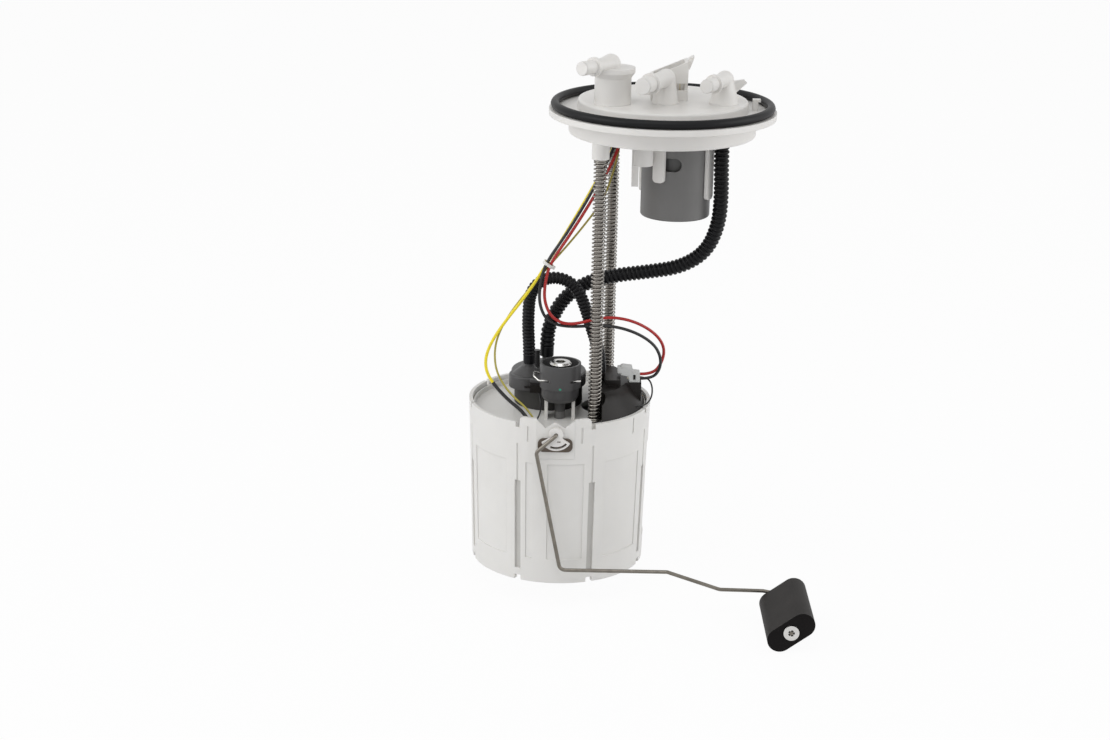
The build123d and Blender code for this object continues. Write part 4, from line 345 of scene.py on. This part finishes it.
def bare_metal(name, colour, roughness, brushed=0.0, tarnish=0.15, soft_edge=0.0002):
    """Bare metal: fine drawing lines along Z, slight tarnish in patches, and edges that catch light."""
    finish = bpy.data.materials.new(name)
    finish.use_nodes = True
    nodes, links = finish.node_tree.nodes, finish.node_tree.links
    shade = nodes["Principled BSDF"]
    shade.inputs["Metallic"].default_value = 1.0
    place = nodes.new("ShaderNodeTexCoord")
    patch = nodes.new("ShaderNodeTexNoise")
    patch.inputs["Scale"].default_value = 220.0
    patch.inputs["Detail"].default_value = 5.0
    links.new(place.outputs["Object"], patch.inputs["Vector"])
    tint = nodes.new("ShaderNodeValToRGB")
    tint.color_ramp.elements[0].position = 0.3
    tint.color_ramp.elements[1].position = 0.7
    tint.color_ramp.elements[0].color = (*[c * (1 - tarnish) for c in colour], 1)
    tint.color_ramp.elements[1].color = (*colour, 1)
    links.new(patch.outputs["Fac"], tint.inputs["Fac"])
    links.new(tint.outputs["Color"], shade.inputs["Base Color"])
    rough = nodes.new("ShaderNodeMapRange")
    rough.inputs["To Min"].default_value = roughness * 1.25
    rough.inputs["To Max"].default_value = roughness * 0.8
    links.new(patch.outputs["Fac"], rough.inputs["Value"])
    links.new(rough.outputs["Result"], shade.inputs["Roughness"])
    lengthwise = nodes.new("ShaderNodeMapping")
    lengthwise.inputs["Scale"].default_value = (1.0, 1.0, 0.04)
    links.new(place.outputs["Object"], lengthwise.inputs["Vector"])
    lines = nodes.new("ShaderNodeTexNoise")
    lines.inputs["Scale"].default_value = 5000.0
    lines.inputs["Detail"].default_value = 2.0
    links.new(lengthwise.outputs["Vector"], lines.inputs["Vector"])
    bump = nodes.new("ShaderNodeBump")
    bump.inputs["Distance"].default_value = 0.000008
    bump.inputs["Strength"].default_value = 0.15 + brushed
    links.new(lines.outputs["Fac"], bump.inputs["Height"])
    if soft_edge:
        edge = nodes.new("ShaderNodeBevel")
        edge.samples = 4
        edge.inputs["Radius"].default_value = soft_edge
        links.new(edge.outputs["Normal"], bump.inputs["Normal"])
    links.new(bump.outputs["Normal"], shade.inputs["Normal"])
    return finish


tinned_brass = bare_metal("tinned_brass", (0.72, 0.66, 0.52), 0.28)
skinned("connector_pins", tinned_brass)

# ------------------------------------------------------------------ vent valve
# The fill-limit valve hangs in the flange's legs: a grey moulded can with a side window, its lid, a
# dark float with a needle, and a light spring and a seal that stay out of sight.
grey_moulding = moulded("grey_moulding", (0.155, 0.153, 0.150), 0.42, mottle=0.06)
dark_float = moulded("dark_float", (0.09, 0.09, 0.088), 0.45)
skinned("vent_valve_body", grey_moulding)
skinned("vent_valve_cap", grey_moulding)
skinned("vent_float", dark_float)
skinned("vent_seal", black_seal_rubber)

VENT_SPRING_WIRE_R = 0.00035
VENT_SPRING_TURNS = 4
STEPS_A_TURN = 20
spring_steel = bare_metal("spring_steel", (0.38, 0.36, 0.33), 0.26, tarnish=0.35, soft_edge=0.0)


def coiled(name, axis_xy, coil_r, wire_r, stages):
    """A spring wound upwards round an upright axis; each stage has its foot, its pitch and its turns."""
    bm = bmesh.new()
    foot = stages[0][0]
    ring = bmesh.ops.create_circle(
        bm, cap_ends=False, segments=8, radius=wire_r,
        matrix=Matrix.Translation((axis_xy[0] + coil_r, axis_xy[1], foot)) @ Matrix.Rotation(pi / 2, 4, "X"),
    )
    verts = ring["verts"]
    edges = list(bm.edges)
    bmesh.ops.edgeloop_fill(bm, edges=edges)
    for _, pitch, turns in stages:
        grown = bmesh.ops.spin(
            bm, geom=verts + edges, cent=(*axis_xy, 0), axis=(0, 0, 1), dvec=(0, 0, pitch / STEPS_A_TURN),
            angle=2 * pi * turns, steps=round(turns * STEPS_A_TURN), use_merge=False, use_duplicate=False,
        )["geom_last"]
        verts = [g for g in grown if isinstance(g, bmesh.types.BMVert)]
        edges = [g for g in grown if isinstance(g, bmesh.types.BMEdge)]
    bmesh.ops.edgeloop_fill(bm, edges=edges)
    bmesh.ops.recalc_face_normals(bm, faces=bm.faces)
    return make_piece(bm, name, spring_steel, crease=60)


low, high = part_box("vent_valve_spring")
can_xy = ((low.x + high.x) / 2, (low.y + high.y) / 2)
vent_coil_r = (high.x - low.x) / 2 - VENT_SPRING_WIRE_R
vent_pitch = (high.z - low.z - 2 * VENT_SPRING_WIRE_R) / VENT_SPRING_TURNS
vent_spring = coiled("vent_spring_coil", can_xy, vent_coil_r, VENT_SPRING_WIRE_R,
                     [(low.z + VENT_SPRING_WIRE_R, vent_pitch, VENT_SPRING_TURNS)])
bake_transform(vent_spring)
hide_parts("vent_valve_spring")

# ------------------------------------------------------------------ guide rods and springs
# Two ground steel rods are pressed into the flange. Each carries a spring of 0.95 mm wire over its
# whole length, with closed ends, which flattens between flange and deck as the pot slides up.
ground_steel = bare_metal("ground_steel", (0.26, 0.24, 0.22), 0.3)
for node in ("guide_rod_front", "guide_rod_rear", "rod_retainers"):
    skinned(node, ground_steel)

WIRE_R = 0.000475
PITCH = 0.00227
CLOSED_TURNS = 2
CLOSED_PITCH = 2.08 * WIRE_R
for place in ("front", "rear"):
    low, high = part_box(f"spring_{place}")
    rod_xy = ((low.x + high.x) / 2, (low.y + high.y) / 2)
    free = high.z - low.z - 2 * WIRE_R - 2 * CLOSED_TURNS * CLOSED_PITCH
    open_turns = round(free / PITCH)
    coil = coiled(
        f"spring_coil_{place}", rod_xy, (high.x - low.x) / 2 - WIRE_R, WIRE_R,
        [(low.z + WIRE_R, CLOSED_PITCH, CLOSED_TURNS), (0, free / open_turns, open_turns),
         (0, CLOSED_PITCH, CLOSED_TURNS)],
    )
    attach(coil, "flange")
    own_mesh(coil)
    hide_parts(f"spring_{place}")

# ------------------------------------------------------------------ hoses
# Both fuel hoses are corrugated polyamide tube, black and slightly glossy, with plain cuffs that are
# pushed over the nipples. The feed hose drops from the flange and swings across behind the front rod.
FEED_HOSE = (
    (.034, -.012, -.007), (.034, -.012, -.025), (.035, -.011, -.044), (.0342, -.009, -.0623),
    (.0278, -.006, -.0793), (.0137, -.002, -.0896), (-.0042, .002, -.0938), (-.0247, .005, -.0973),
    (-.0418, .0075, -.1025), (-.0558, .0085, -.1136), (-.0633, .0075, -.1296), (-.0642, .006, -.1392),
    (-.0642, .006, -.148),
)
CROSSOVER_HOSE = (
    (-.0748, .0005, -.1513), (-.0748, .0005, -.1415), (-.0756, -.0008, -.1295), (-.0755, -.002, -.118),
    (-.0748, -.003, -.1085), (-.0712, -.0038, -.1014), (-.0648, -.0046, -.0972),
    (-.0573, -.0055, -.0966), (-.0503, -.0064, -.0995), (-.0455, -.007, -.1054),
    (-.0418, -.007, -.1146), (-.0383, -.0064, -.126), (-.0346, -.005, -.1375), (-.0323, -.004, -.147),
    (-.0323, -.004, -.154),
)


def laid_line(name, route):
    """Points along a cord's smooth line, which its route controls from first to last."""
    curve = bpy.data.curves.new(name, "CURVE")
    curve.dimensions = "3D"
    curve.resolution_u = 40
    spline = curve.splines.new("NURBS")
    spline.points.add(len(route) - 1)
    for point, place in zip(spline.points, route):
        point.co = (*place, 1)
    spline.order_u = 3
    spline.use_endpoint_u = True
    holder = bpy.data.objects.new(name, curve)
    mesh = bpy.data.meshes.new_from_object(holder)
    line = [v.co.copy() for v in mesh.vertices]
    bpy.data.objects.remove(holder)
    bpy.data.curves.remove(curve)
    bpy.data.meshes.remove(mesh)
    return line


def evenly_spaced(line, step):
    """The same line as points that stand about a step apart, with how far along each lies."""
    lengths = [0.0]
    for before, here in zip(line, line[1:]):
        lengths.append(lengths[-1] + (here - before).length)
    count = max(round(lengths[-1] / step), 2)
    spaced, along, i = [], [], 0
    for k in range(count + 1):
        reach = lengths[-1] * k / count
        while i < len(line) - 2 and lengths[i + 1] < reach:
            i += 1
        share = (reach - lengths[i]) / max(lengths[i + 1] - lengths[i], 1e-12)
        spaced.append(line[i].lerp(line[i + 1], min(share, 1.0)))
        along.append(reach)
    return spaced, along


def swept(name, line, radii, sides=8):
    """A round tube along a line, closed at both ends, with a radius of its own at each point."""
    curve = bpy.data.curves.new(name, "CURVE")
    curve.dimensions = "3D"
    curve.bevel_depth = 1.0
    curve.bevel_resolution = sides
    curve.use_fill_caps = True
    spline = curve.splines.new("POLY")
    spline.points.add(len(line) - 1)
    for point, place, radius in zip(spline.points, line, radii):
        point.co = (*place, 1)
        point.radius = radius
    holder = bpy.data.objects.new(name, curve)
    mesh = bpy.data.meshes.new_from_object(holder)
    bm = bmesh.new()
    bm.from_mesh(mesh)
    bmesh.ops.remove_doubles(bm, verts=bm.verts, dist=1e-6)
    bpy.data.objects.remove(holder)
    bpy.data.curves.remove(curve)
    bpy.data.meshes.remove(mesh)
    return bm


POINTS_A_RIDGE = 8
CUFF_SINK = 0.35
GROOVE_SHARPNESS = 2.2


def corrugated(name, line, outer_r, pitch, groove, cuff, finish):
    """A corrugated hose: round ridges with narrower grooves between them, and a plain cuff at each end."""
    spaced, along = evenly_spaced(line, pitch / POINTS_A_RIDGE)
    whole = along[-1]
    radii = []
    for reach in along:
        if min(reach, whole - reach) < cuff:
            radii.append(outer_r - groove * CUFF_SINK)
        else:
            wave = 0.5 + 0.5 * cos(2 * pi * (reach - cuff) / pitch)
            radii.append(outer_r - groove * (1 - wave) ** GROOVE_SHARPNESS)
    return make_piece(swept(name, spaced, radii), name, finish, crease=75)


hose_polyamide = moulded("hose_polyamide", (0.006, 0.006, 0.007), 0.34, mottle=0.2, grain=0.00001,
                         soft_edge=0.0, shine=0.18)
feed_line = laid_line("feed_line", FEED_HOSE)
feed_hose = corrugated("feed_hose_tube", feed_line, outer_r=0.0044, pitch=0.0027, groove=0.0009,
                       cuff=0.006, finish=hose_polyamide)
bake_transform(feed_hose)
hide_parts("feed_hose")

crossover_line = laid_line("crossover_line", CROSSOVER_HOSE)
crossover = corrugated("crossover_hose_tube", crossover_line, outer_r=0.00375, pitch=0.0022,
                       groove=0.0007, cuff=0.005, finish=hose_polyamide)
fitted(crossover, "crossover_hose")

# ------------------------------------------------------------------ leads
# Four fuel-proof leads with smooth extruded jackets leave the flange in one bundle: red and black
# feed the pump, yellow and tan read the level. A small nylon tie holds them together halfway down.
YELLOW_LEAD = (
    (-.0268, -.0067, -.008), (-.0268, -.0067, -.015), (-.031, -.012, -.024), (-.0404, -.0188, -.041),
    (-.0532, -.021, -.0637), (-.065, -.0216, -.0841), (-.0757, -.0232, -.1014), (-.0886, -.026, -.1178),
    (-.097, -.03, -.1301), (-.1002, -.033, -.1401), (-.098, -.036, -.1489), (-.0878, -.0395, -.1602),
    (-.0762, -.042, -.1686), (-.072, -.044, -.1755),
)
TAN_LEAD = (
    (-.0242, -.0067, -.008), (-.0242, -.0067, -.016), (-.0264, -.0096, -.027), (-.0326, -.0158, -.0465),
    (-.048, -.0194, -.067), (-.0632, -.0214, -.0848), (-.075, -.02, -.0995), (-.086, -.0226, -.1137),
    (-.0929, -.0265, -.126), (-.0948, -.0305, -.1364), (-.093, -.034, -.1476), (-.085, -.038, -.1586),
    (-.074, -.0406, -.1669), (-.0686, -.0436, -.1755),
)
RED_LEAD = (
    (-.0242, -.0093, -.008), (-.0242, -.0093, -.0155), (-.0284, -.014, -.025), (-.038, -.0206, -.043),
    (-.0516, -.0236, -.0655), (-.0632, -.0238, -.0833), (-.0659, -.0236, -.0946),
    (-.0663, -.0226, -.1064), (-.0616, -.0214, -.117), (-.051, -.0204, -.1216), (-.0311, -.018, -.1162),
    (-.0146, -.014, -.1192), (-.0006, -.009, -.1281), (.0057, -.006, -.1379), (.0046, -.0045, -.1478),
    (-.0008, -.005, -.1552), (-.0085, -.005, -.1552),
)
BLACK_LEAD = (
    (-.0268, -.0093, -.008), (-.0268, -.0093, -.015), (-.0312, -.0144, -.0244), (-.0404, -.021, -.0424),
    (-.0542, -.0237, -.066), (-.0657, -.024, -.083), (-.0688, -.0236, -.0953), (-.0692, -.0226, -.1084),
    (-.0642, -.0204, -.1194), (-.052, -.0176, -.1234), (-.031, -.0172, -.1214), (-.0144, -.015, -.1253),
    (-.0014, -.012, -.1337), (.0034, -.01, -.1428), (.0032, -.008, -.1514), (-.0014, -.005, -.158),
    (-.0085, -.005, -.158),
)
LEADS = (
    ("lead_red", "wire_red", RED_LEAD, 0.0018, 0.2259, (0.42, 0.012, 0.010)),
    ("lead_black", "wire_black", BLACK_LEAD, 0.0018, 0.2252, (0.012, 0.012, 0.013)),
    ("lead_yellow", "wire_yellow", YELLOW_LEAD, 0.0018, 0.2034, (0.86, 0.70, 0.02)),
    ("lead_tan", "wire_tan", TAN_LEAD, 0.0012, 0.2030, (0.42, 0.36, 0.06)),
)
LEAD_STEP = 0.001

# A black sleeve is shrunk over the yellow lead's lower end, and stops just short of the tip.
SLEEVE_L = 0.034
SLEEVE_R = 0.00105
BARE_TIP = 0.0005


def jacket(name, colour):
    """Extruded lead jacket: nearly even colour, slightly waxy, with faint bumps from the strands inside."""
    return moulded(name, colour, 0.36, mottle=0.08, grain=0.00003, soft_edge=0.0)


tie_finish = moulded("tie_nylon", (0.78, 0.77, 0.74), 0.4, mottle=0.03, depth=0.1)
tie = make_piece(welded("cable_tie"), "lead_tie", tie_finish)
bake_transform(tie)
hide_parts("cable_tie")

for name, node, route, thick, long, colour in LEADS:
    lead_line = laid_line(name + "_line", route)
    spaced, along = evenly_spaced(lead_line, LEAD_STEP)
    if node == "wire_yellow":
        sleeve_top, sleeve_foot = along[-1] - SLEEVE_L, along[-1] - BARE_TIP
        covered = [point for point, reach in zip(spaced, along) if sleeve_top < reach < sleeve_foot]
        sleeve_bm = swept("sender_sleeve", covered, [SLEEVE_R] * len(covered), sides=5)
        sleeve = make_piece(sleeve_bm, "sender_sleeve", jacket("sleeve_jacket", (0.010, 0.010, 0.011)),
                            crease=75)
        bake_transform(sleeve)
    lead = make_piece(swept(name, spaced, [thick / 2] * len(spaced), sides=5), name,
                      jacket(name + "_jacket", colour), crease=75)
    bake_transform(lead)
    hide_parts(node)

# ------------------------------------------------------------------ pot and deck
# The swirl pot is a thin natural polyamide moulding with grooves, sunk panels and the sender's
# window. The deck that closes it is moulded in the same material and pressed into its rim.
natural_polyamide = moulded("natural_polyamide", (0.80, 0.79, 0.765), 0.34, mottle=0.02, depth=0.15)
bush_acetal = moulded("bush_acetal", (0.70, 0.69, 0.66), 0.4)
pot = skinned("reservoir", natural_polyamide)

# The floors of the pot's long grooves take a darker copy of its finish: painted shade in the grooves.
groove_painted_shade = moulded("groove_painted_shade", (0.58, 0.57, 0.545), 0.38, mottle=0.04, depth=0.1)
POT_AXIS = Vector((-0.056, 0, 0))
GROOVE_TURNS = (-164.5, -116.5, -68.5, -20.5, 27.5, 79.5, 147.5)
GROOVE_HALF_W = 0.0019
GROOVE_FOOT = -0.264
GROOVE_HEAD = -0.208
GROOVE_FLOOR_R = (0.0496, 0.0524)
EDGE_MARGIN = 0.00005
pot.data.materials.append(groove_painted_shade)
# Faces on the groove floors get the painted-shade finish.
for face in pot.data.polygons:
    from_axis = face.center - POT_AXIS
    for turn in GROOVE_TURNS:
        outward = Vector((cos(radians(turn)), sin(radians(turn)), 0))
        aside = from_axis.cross(outward).z
        inside = abs(aside) < GROOVE_HALF_W - EDGE_MARGIN and GROOVE_FOOT < face.center.z < GROOVE_HEAD
        on_floor = GROOVE_FLOOR_R[0] < from_axis.dot(outward) < GROOVE_FLOOR_R[1]
        if inside and on_floor and face.normal.dot(outward) > 0.95:
            face.material_index = 1
skinned("reservoir_lid", natural_polyamide)
skinned("rod_bushings", bush_acetal)

# ------------------------------------------------------------------ pump
# The electric pump hangs in a rubber sleeve under the deck: a drawn steel shell, moulded ends,
# ferrite magnets, carbon brushes, and the armature and impeller that turn on its shaft.
zinc_shell = bare_metal("zinc_shell", (0.62, 0.62, 0.60), 0.3, brushed=0.3)
ferrite = moulded("ferrite", (0.05, 0.05, 0.052), 0.6)
carbon = moulded("carbon", (0.03, 0.03, 0.03), 0.55)
for node, finish in (
    ("pump_case", zinc_shell), ("pump_outlet_cap", grey_moulding), ("pump_inlet_cap", grey_moulding),
    ("motor_magnets", ferrite), ("brushes", carbon), ("pump_isolator", black_seal_rubber),
    ("armature", ground_steel), ("impeller", dark_float), ("jet_pump", grey_moulding),
    ("inlet_valve", black_seal_rubber),
):
    skinned(node, finish)

# ------------------------------------------------------------------ strainer
# The inlet strainer is a bag of woven polyamide gauze, welded along its hem. It is pushed on to the
# pump's inlet and lies on the pot's floor.


def gauze(name, colour, pitch):
    """Woven gauze: two crossing sets of threads seen from above, with dark meshes between them."""
    finish = bpy.data.materials.new(name)
    finish.use_nodes = True
    nodes, links = finish.node_tree.nodes, finish.node_tree.links
    shade = nodes["Principled BSDF"]
    shade.inputs["Roughness"].default_value = 0.7
    place = nodes.new("ShaderNodeTexCoord")
    threads = []
    for direction in ("X", "Y"):
        wave = nodes.new("ShaderNodeTexWave")
        wave.bands_direction = direction
        wave.inputs["Scale"].default_value = 0.314 / pitch
        links.new(place.outputs["Object"], wave.inputs["Vector"])
        threads.append(wave)
    crossed = nodes.new("ShaderNodeMath")
    crossed.operation = "MAXIMUM"
    links.new(threads[0].outputs["Fac"], crossed.inputs[0])
    links.new(threads[1].outputs["Fac"], crossed.inputs[1])
    tint = nodes.new("ShaderNodeValToRGB")
    tint.color_ramp.elements[0].color = (*[c * 0.35 for c in colour], 1)
    tint.color_ramp.elements[1].color = (*colour, 1)
    links.new(crossed.outputs[0], tint.inputs["Fac"])
    links.new(tint.outputs["Color"], shade.inputs["Base Color"])
    bump = nodes.new("ShaderNodeBump")
    bump.inputs["Distance"].default_value = 0.0001
    links.new(crossed.outputs[0], bump.inputs["Height"])
    links.new(bump.outputs["Normal"], shade.inputs["Normal"])
    return finish


skinned("strainer", gauze("strainer_gauze", (0.62, 0.62, 0.58), pitch=0.0006))

# ------------------------------------------------------------------ pump cover, plug and earth lead
# A black glass-filled cover closes the pump's head. The white two-way plug stands on it, and a thin
# earth lead loops from the plug down to the cover's slope.
PLUG_EARTH = (
    (-.0085, -.0022, -.158), (-.0035, -.0024, -.1582), (-.0008, -.0055, -.1625), (-.0012, -.011, -.168),
    (-.0055, -.017, -.1716), (-.012, -.0195, -.1705),
)
EARTH_D = 0.001
EARTH_STEP = 0.0006
black_moulding = moulded("black_moulding", (0.012, 0.010, 0.009), 0.36, mottle=0.15, shine=0.22)
plug_nylon = moulded("plug_nylon", (0.66, 0.67, 0.66), 0.33, mottle=0.04, depth=0.15)
skinned("pump_cover", black_moulding)
skinned("plug_terminals", tinned_brass)

# The plug's front view: a block with its latch lug at the left, and a lower tongue that enters its seat. Its
# key slot is not cut: a thin black panel on the front paints the shade in the slot.
PLUG_EDGE_R = 0.00025
LATCH_LUG = 0.002
BLOCK_FOOT = 0.0052
TONGUE_TOP = 0.0038
TONGUE_W = 0.0064
KEY_SLOT_IN = 0.0034
KEY_SLOT_SIZE = (0.0014, 0.0001, 0.0030)
KEY_SLOT_EDGE_R = 0.00003
low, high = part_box("pump_plug")
plug_outline = (
    (low.x + LATCH_LUG, high.z - 0.0004), (low.x + LATCH_LUG + 0.0012, high.z),
    (high.x - 0.0048, high.z - 0.0006),
    (high.x - 0.0042, high.z - TONGUE_TOP + 0.0004), (high.x - 0.0002, high.z - TONGUE_TOP), (high.x, low.z),
    (high.x - TONGUE_W, low.z), (high.x - TONGUE_W - 0.0008, high.z - BLOCK_FOOT - 0.0006),
    (low.x + LATCH_LUG, high.z - BLOCK_FOOT), (low.x + LATCH_LUG, high.z - 0.0042), (low.x, high.z - 0.0040),
    (low.x, high.z - 0.0012), (low.x + LATCH_LUG, high.z - 0.0010),
)
plug_bm = bmesh.new()
front_face = plug_bm.faces.new([plug_bm.verts.new((x, low.y, z)) for x, z in plug_outline])
drawn = bmesh.ops.extrude_face_region(plug_bm, geom=[front_face], use_keep_orig=True)["geom"]
plug_back = [g for g in drawn if isinstance(g, bmesh.types.BMVert)]
bmesh.ops.translate(plug_bm, vec=(0, high.y - low.y, 0), verts=plug_back)
bmesh.ops.recalc_face_normals(plug_bm, faces=plug_bm.faces)
bmesh.ops.bevel(plug_bm, geom=list(plug_bm.edges), offset=PLUG_EDGE_R, segments=2, affect="EDGES",
                clamp_overlap=True)
fitted(make_piece(plug_bm, "plug_body", plug_nylon), "pump_plug")

# A thin black panel paints the shade in the plug's key slot.
key_slot_shade_bm = bmesh.new()
slot_middle = (high.x - KEY_SLOT_IN, low.y - 0.00004, low.z + KEY_SLOT_IN)
slot_scale = Matrix.Diagonal((*KEY_SLOT_SIZE, 1))
bmesh.ops.create_cube(key_slot_shade_bm, size=1.0, matrix=Matrix.Translation(slot_middle) @ slot_scale)
bmesh.ops.bevel(key_slot_shade_bm, geom=list(key_slot_shade_bm.edges), offset=KEY_SLOT_EDGE_R, segments=1, affect="EDGES")
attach(make_piece(key_slot_shade_bm, "plug_key_slot_shade", black_moulding), frame["nodes"]["pump_plug"]["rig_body"])
earth_jacket = jacket("earth_jacket", (0.014, 0.014, 0.014))


def earth_lead(name, node, route):
    """A thin black earth lead along its route, which stays on the pot."""
    line = laid_line(name + "_line", route)
    spaced, _ = evenly_spaced(line, EARTH_STEP)
    lead_bm = swept(name, spaced, [EARTH_D / 2] * len(spaced), sides=4)
    lead = fitted(make_piece(lead_bm, name, earth_jacket, crease=75), node)


earth_lead("plug_earth_lead", "ground_lead_plug", PLUG_EARTH)

# ------------------------------------------------------------------ filter
# Dark grey conductive acetal: the filter can, and its lid with two hose nipples and a pillar. A
# black clip takes the earth lead, and the pleated element stands inside.
FILTER_EARTH = (
    (-.0684, -.0135, -.165), (-.0674, -.0144, -.1696), (-.067, -.0195, -.1728),
    (-.0676, -.0265, -.1742), (-.0694, -.0338, -.1754), (-.0714, -.0406, -.178),
)
conductive_acetal = moulded("conductive_acetal", (0.072, 0.071, 0.072), 0.36, mottle=0.1, shine=0.35)
dull_conductive = moulded("dull_conductive", (0.038, 0.037, 0.035), 0.48, mottle=0.1, shine=0.3)
filter_paper = moulded("filter_paper", (0.62, 0.52, 0.30), 0.85, mottle=0.1, grain=0.00006)
skinned("filter_housing", dull_conductive)
skinned("filter_lid", conductive_acetal)
skinned("filter_element", filter_paper)
skinned("earth_clip", black_moulding)
earth_lead("filter_earth_lead", "ground_lead_filter", FILTER_EARTH)

# ------------------------------------------------------------------ pressure regulator
# A stainless capsule with a pressed, chamfered crown and a hexagon socket sits in a grey cup. A bent
# wire clip through the cup's slots holds it down.
skinned("regulator_cup", conductive_acetal)
skinned("regulator_seal", black_seal_rubber)
stainless = bare_metal("stainless", (0.70, 0.69, 0.67), 0.16, tarnish=0.08)
clip_steel = bare_metal("clip_steel", (0.66, 0.65, 0.63), 0.2, tarnish=0.1, soft_edge=0.0)
skinned("pressure_regulator", stainless)
skinned("regulator_clip", clip_steel)

# A domed spot of green paint is dabbed on the cup's front once it has passed inspection.
DAB_R = 0.0008
DAB_SHAPE = (1.0, 0.85, 0.12)
DAB_H = 0.0165
DAB_FACES = Vector((0, -1, 0.02))
inspection_green = moulded("inspection_green", (0.02, 0.30, 0.19), 0.3, mottle=0.2, grain=0.00001,
                           soft_edge=0.0)
low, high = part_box("regulator_cup")
dab_bm = bmesh.new()
bmesh.ops.create_uvsphere(dab_bm, u_segments=20, v_segments=10, radius=DAB_R)
bmesh.ops.scale(dab_bm, vec=DAB_SHAPE, verts=dab_bm.verts)
dab_place = Matrix.Translation(((low.x + high.x) / 2, low.y, low.z + DAB_H))
dab_turn = DAB_FACES.to_track_quat("Z", "Y").to_matrix().to_4x4()
bmesh.ops.transform(dab_bm, matrix=dab_place @ dab_turn, verts=dab_bm.verts)
cup_dab = make_piece(dab_bm, "cup_dab", inspection_green, crease=75)
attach(cup_dab, frame["nodes"]["regulator_cup"]["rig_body"])

# ------------------------------------------------------------------ level sender
# The sender's white base fills the pot's window. A ceramic card carries the resistor tracks, and the
# fan-shaped carrier swings the contacts over them.
dark_card = moulded("dark_card", (0.10, 0.075, 0.055), 0.4, mottle=0.1)
skinned("sender_base", natural_polyamide)
skinned("resistor_card", dark_card)
skinned("sender_terminals", tinned_brass)
skinned("arm_carrier", natural_acetal)
skinned("wiper", tinned_brass)

# ------------------------------------------------------------------ float arm and float
# One bent stainless wire swings the float, which is closed-cell nitrile, moulded and free to turn. A
# pressed push nut keeps it on the wire.
arm_steel = bare_metal("arm_steel", (0.24, 0.22, 0.19), 0.32, tarnish=0.3, soft_edge=0.0)
float_nitrile = rubber("float_nitrile", (0.022, 0.020, 0.019), 0.6, pores=0.00008, pore_scale=1500.0,
                       bloom=0.5)
skinned("float_arm", arm_steel)
float_body = skinned("float", float_nitrile)

# The float is cut to length. Its two cut ends get open pores, and a darker colour that is painted shade on
# the end faces.
float_end_pores_and_shade = rubber("float_end_pores_and_painted_shade", (0.009, 0.008, 0.008), 0.75, pores=0.00012, pore_scale=1100.0,
                 bloom=0.3, shine=0.1)
float_body.data.materials.append(float_end_pores_and_shade)
# Both end faces take the open pores and the painted shade.
for face in float_body.data.polygons:
    if abs(face.normal.y) > 0.98:
        face.material_index = 1

# The nut is a domed spring-steel ring whose inner teeth leave a star-shaped hole round the wire's end.
HOLE_R = 0.0019
TOOTH_R = 0.00125
DOME = 0.0002
NUT_TEETH = 5
STEPS_A_TOOTH = 12
TOOTH_STEPS = (5, 6, 7)
low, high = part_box("push_nut")
nut_middle = (low + high) / 2
nut_r = (high.x - low.x) / 2
nut_section = (
    (HOLE_R, high.y), (nut_r, high.y), (nut_r, low.y + DOME), ((nut_r + HOLE_R) / 2, low.y),
    (HOLE_R, low.y + DOME),
)
nut_bm = bmesh.new()
rings = []
for radius_out, y in nut_section:
    ring = []
    for k in range(STEPS_A_TOOTH * NUT_TEETH):
        turn = 2 * pi * k / (STEPS_A_TOOTH * NUT_TEETH)
        tooth = radius_out == HOLE_R and k % STEPS_A_TOOTH in TOOTH_STEPS
        reach = TOOTH_R if tooth else radius_out
        place = (nut_middle.x + reach * cos(turn), y, nut_middle.z + reach * sin(turn))
        ring.append(nut_bm.verts.new(place))
    rings.append(ring)
for inner, outer in zip(rings, rings[1:] + rings[:1]):
    for k, vert in enumerate(inner):
        after = (k + 1) % len(inner)
        nut_bm.faces.new((vert, inner[after], outer[after], outer[k]))
bmesh.ops.recalc_face_normals(nut_bm, faces=nut_bm.faces)
fitted(make_piece(nut_bm, "star_nut", stainless), "push_nut")
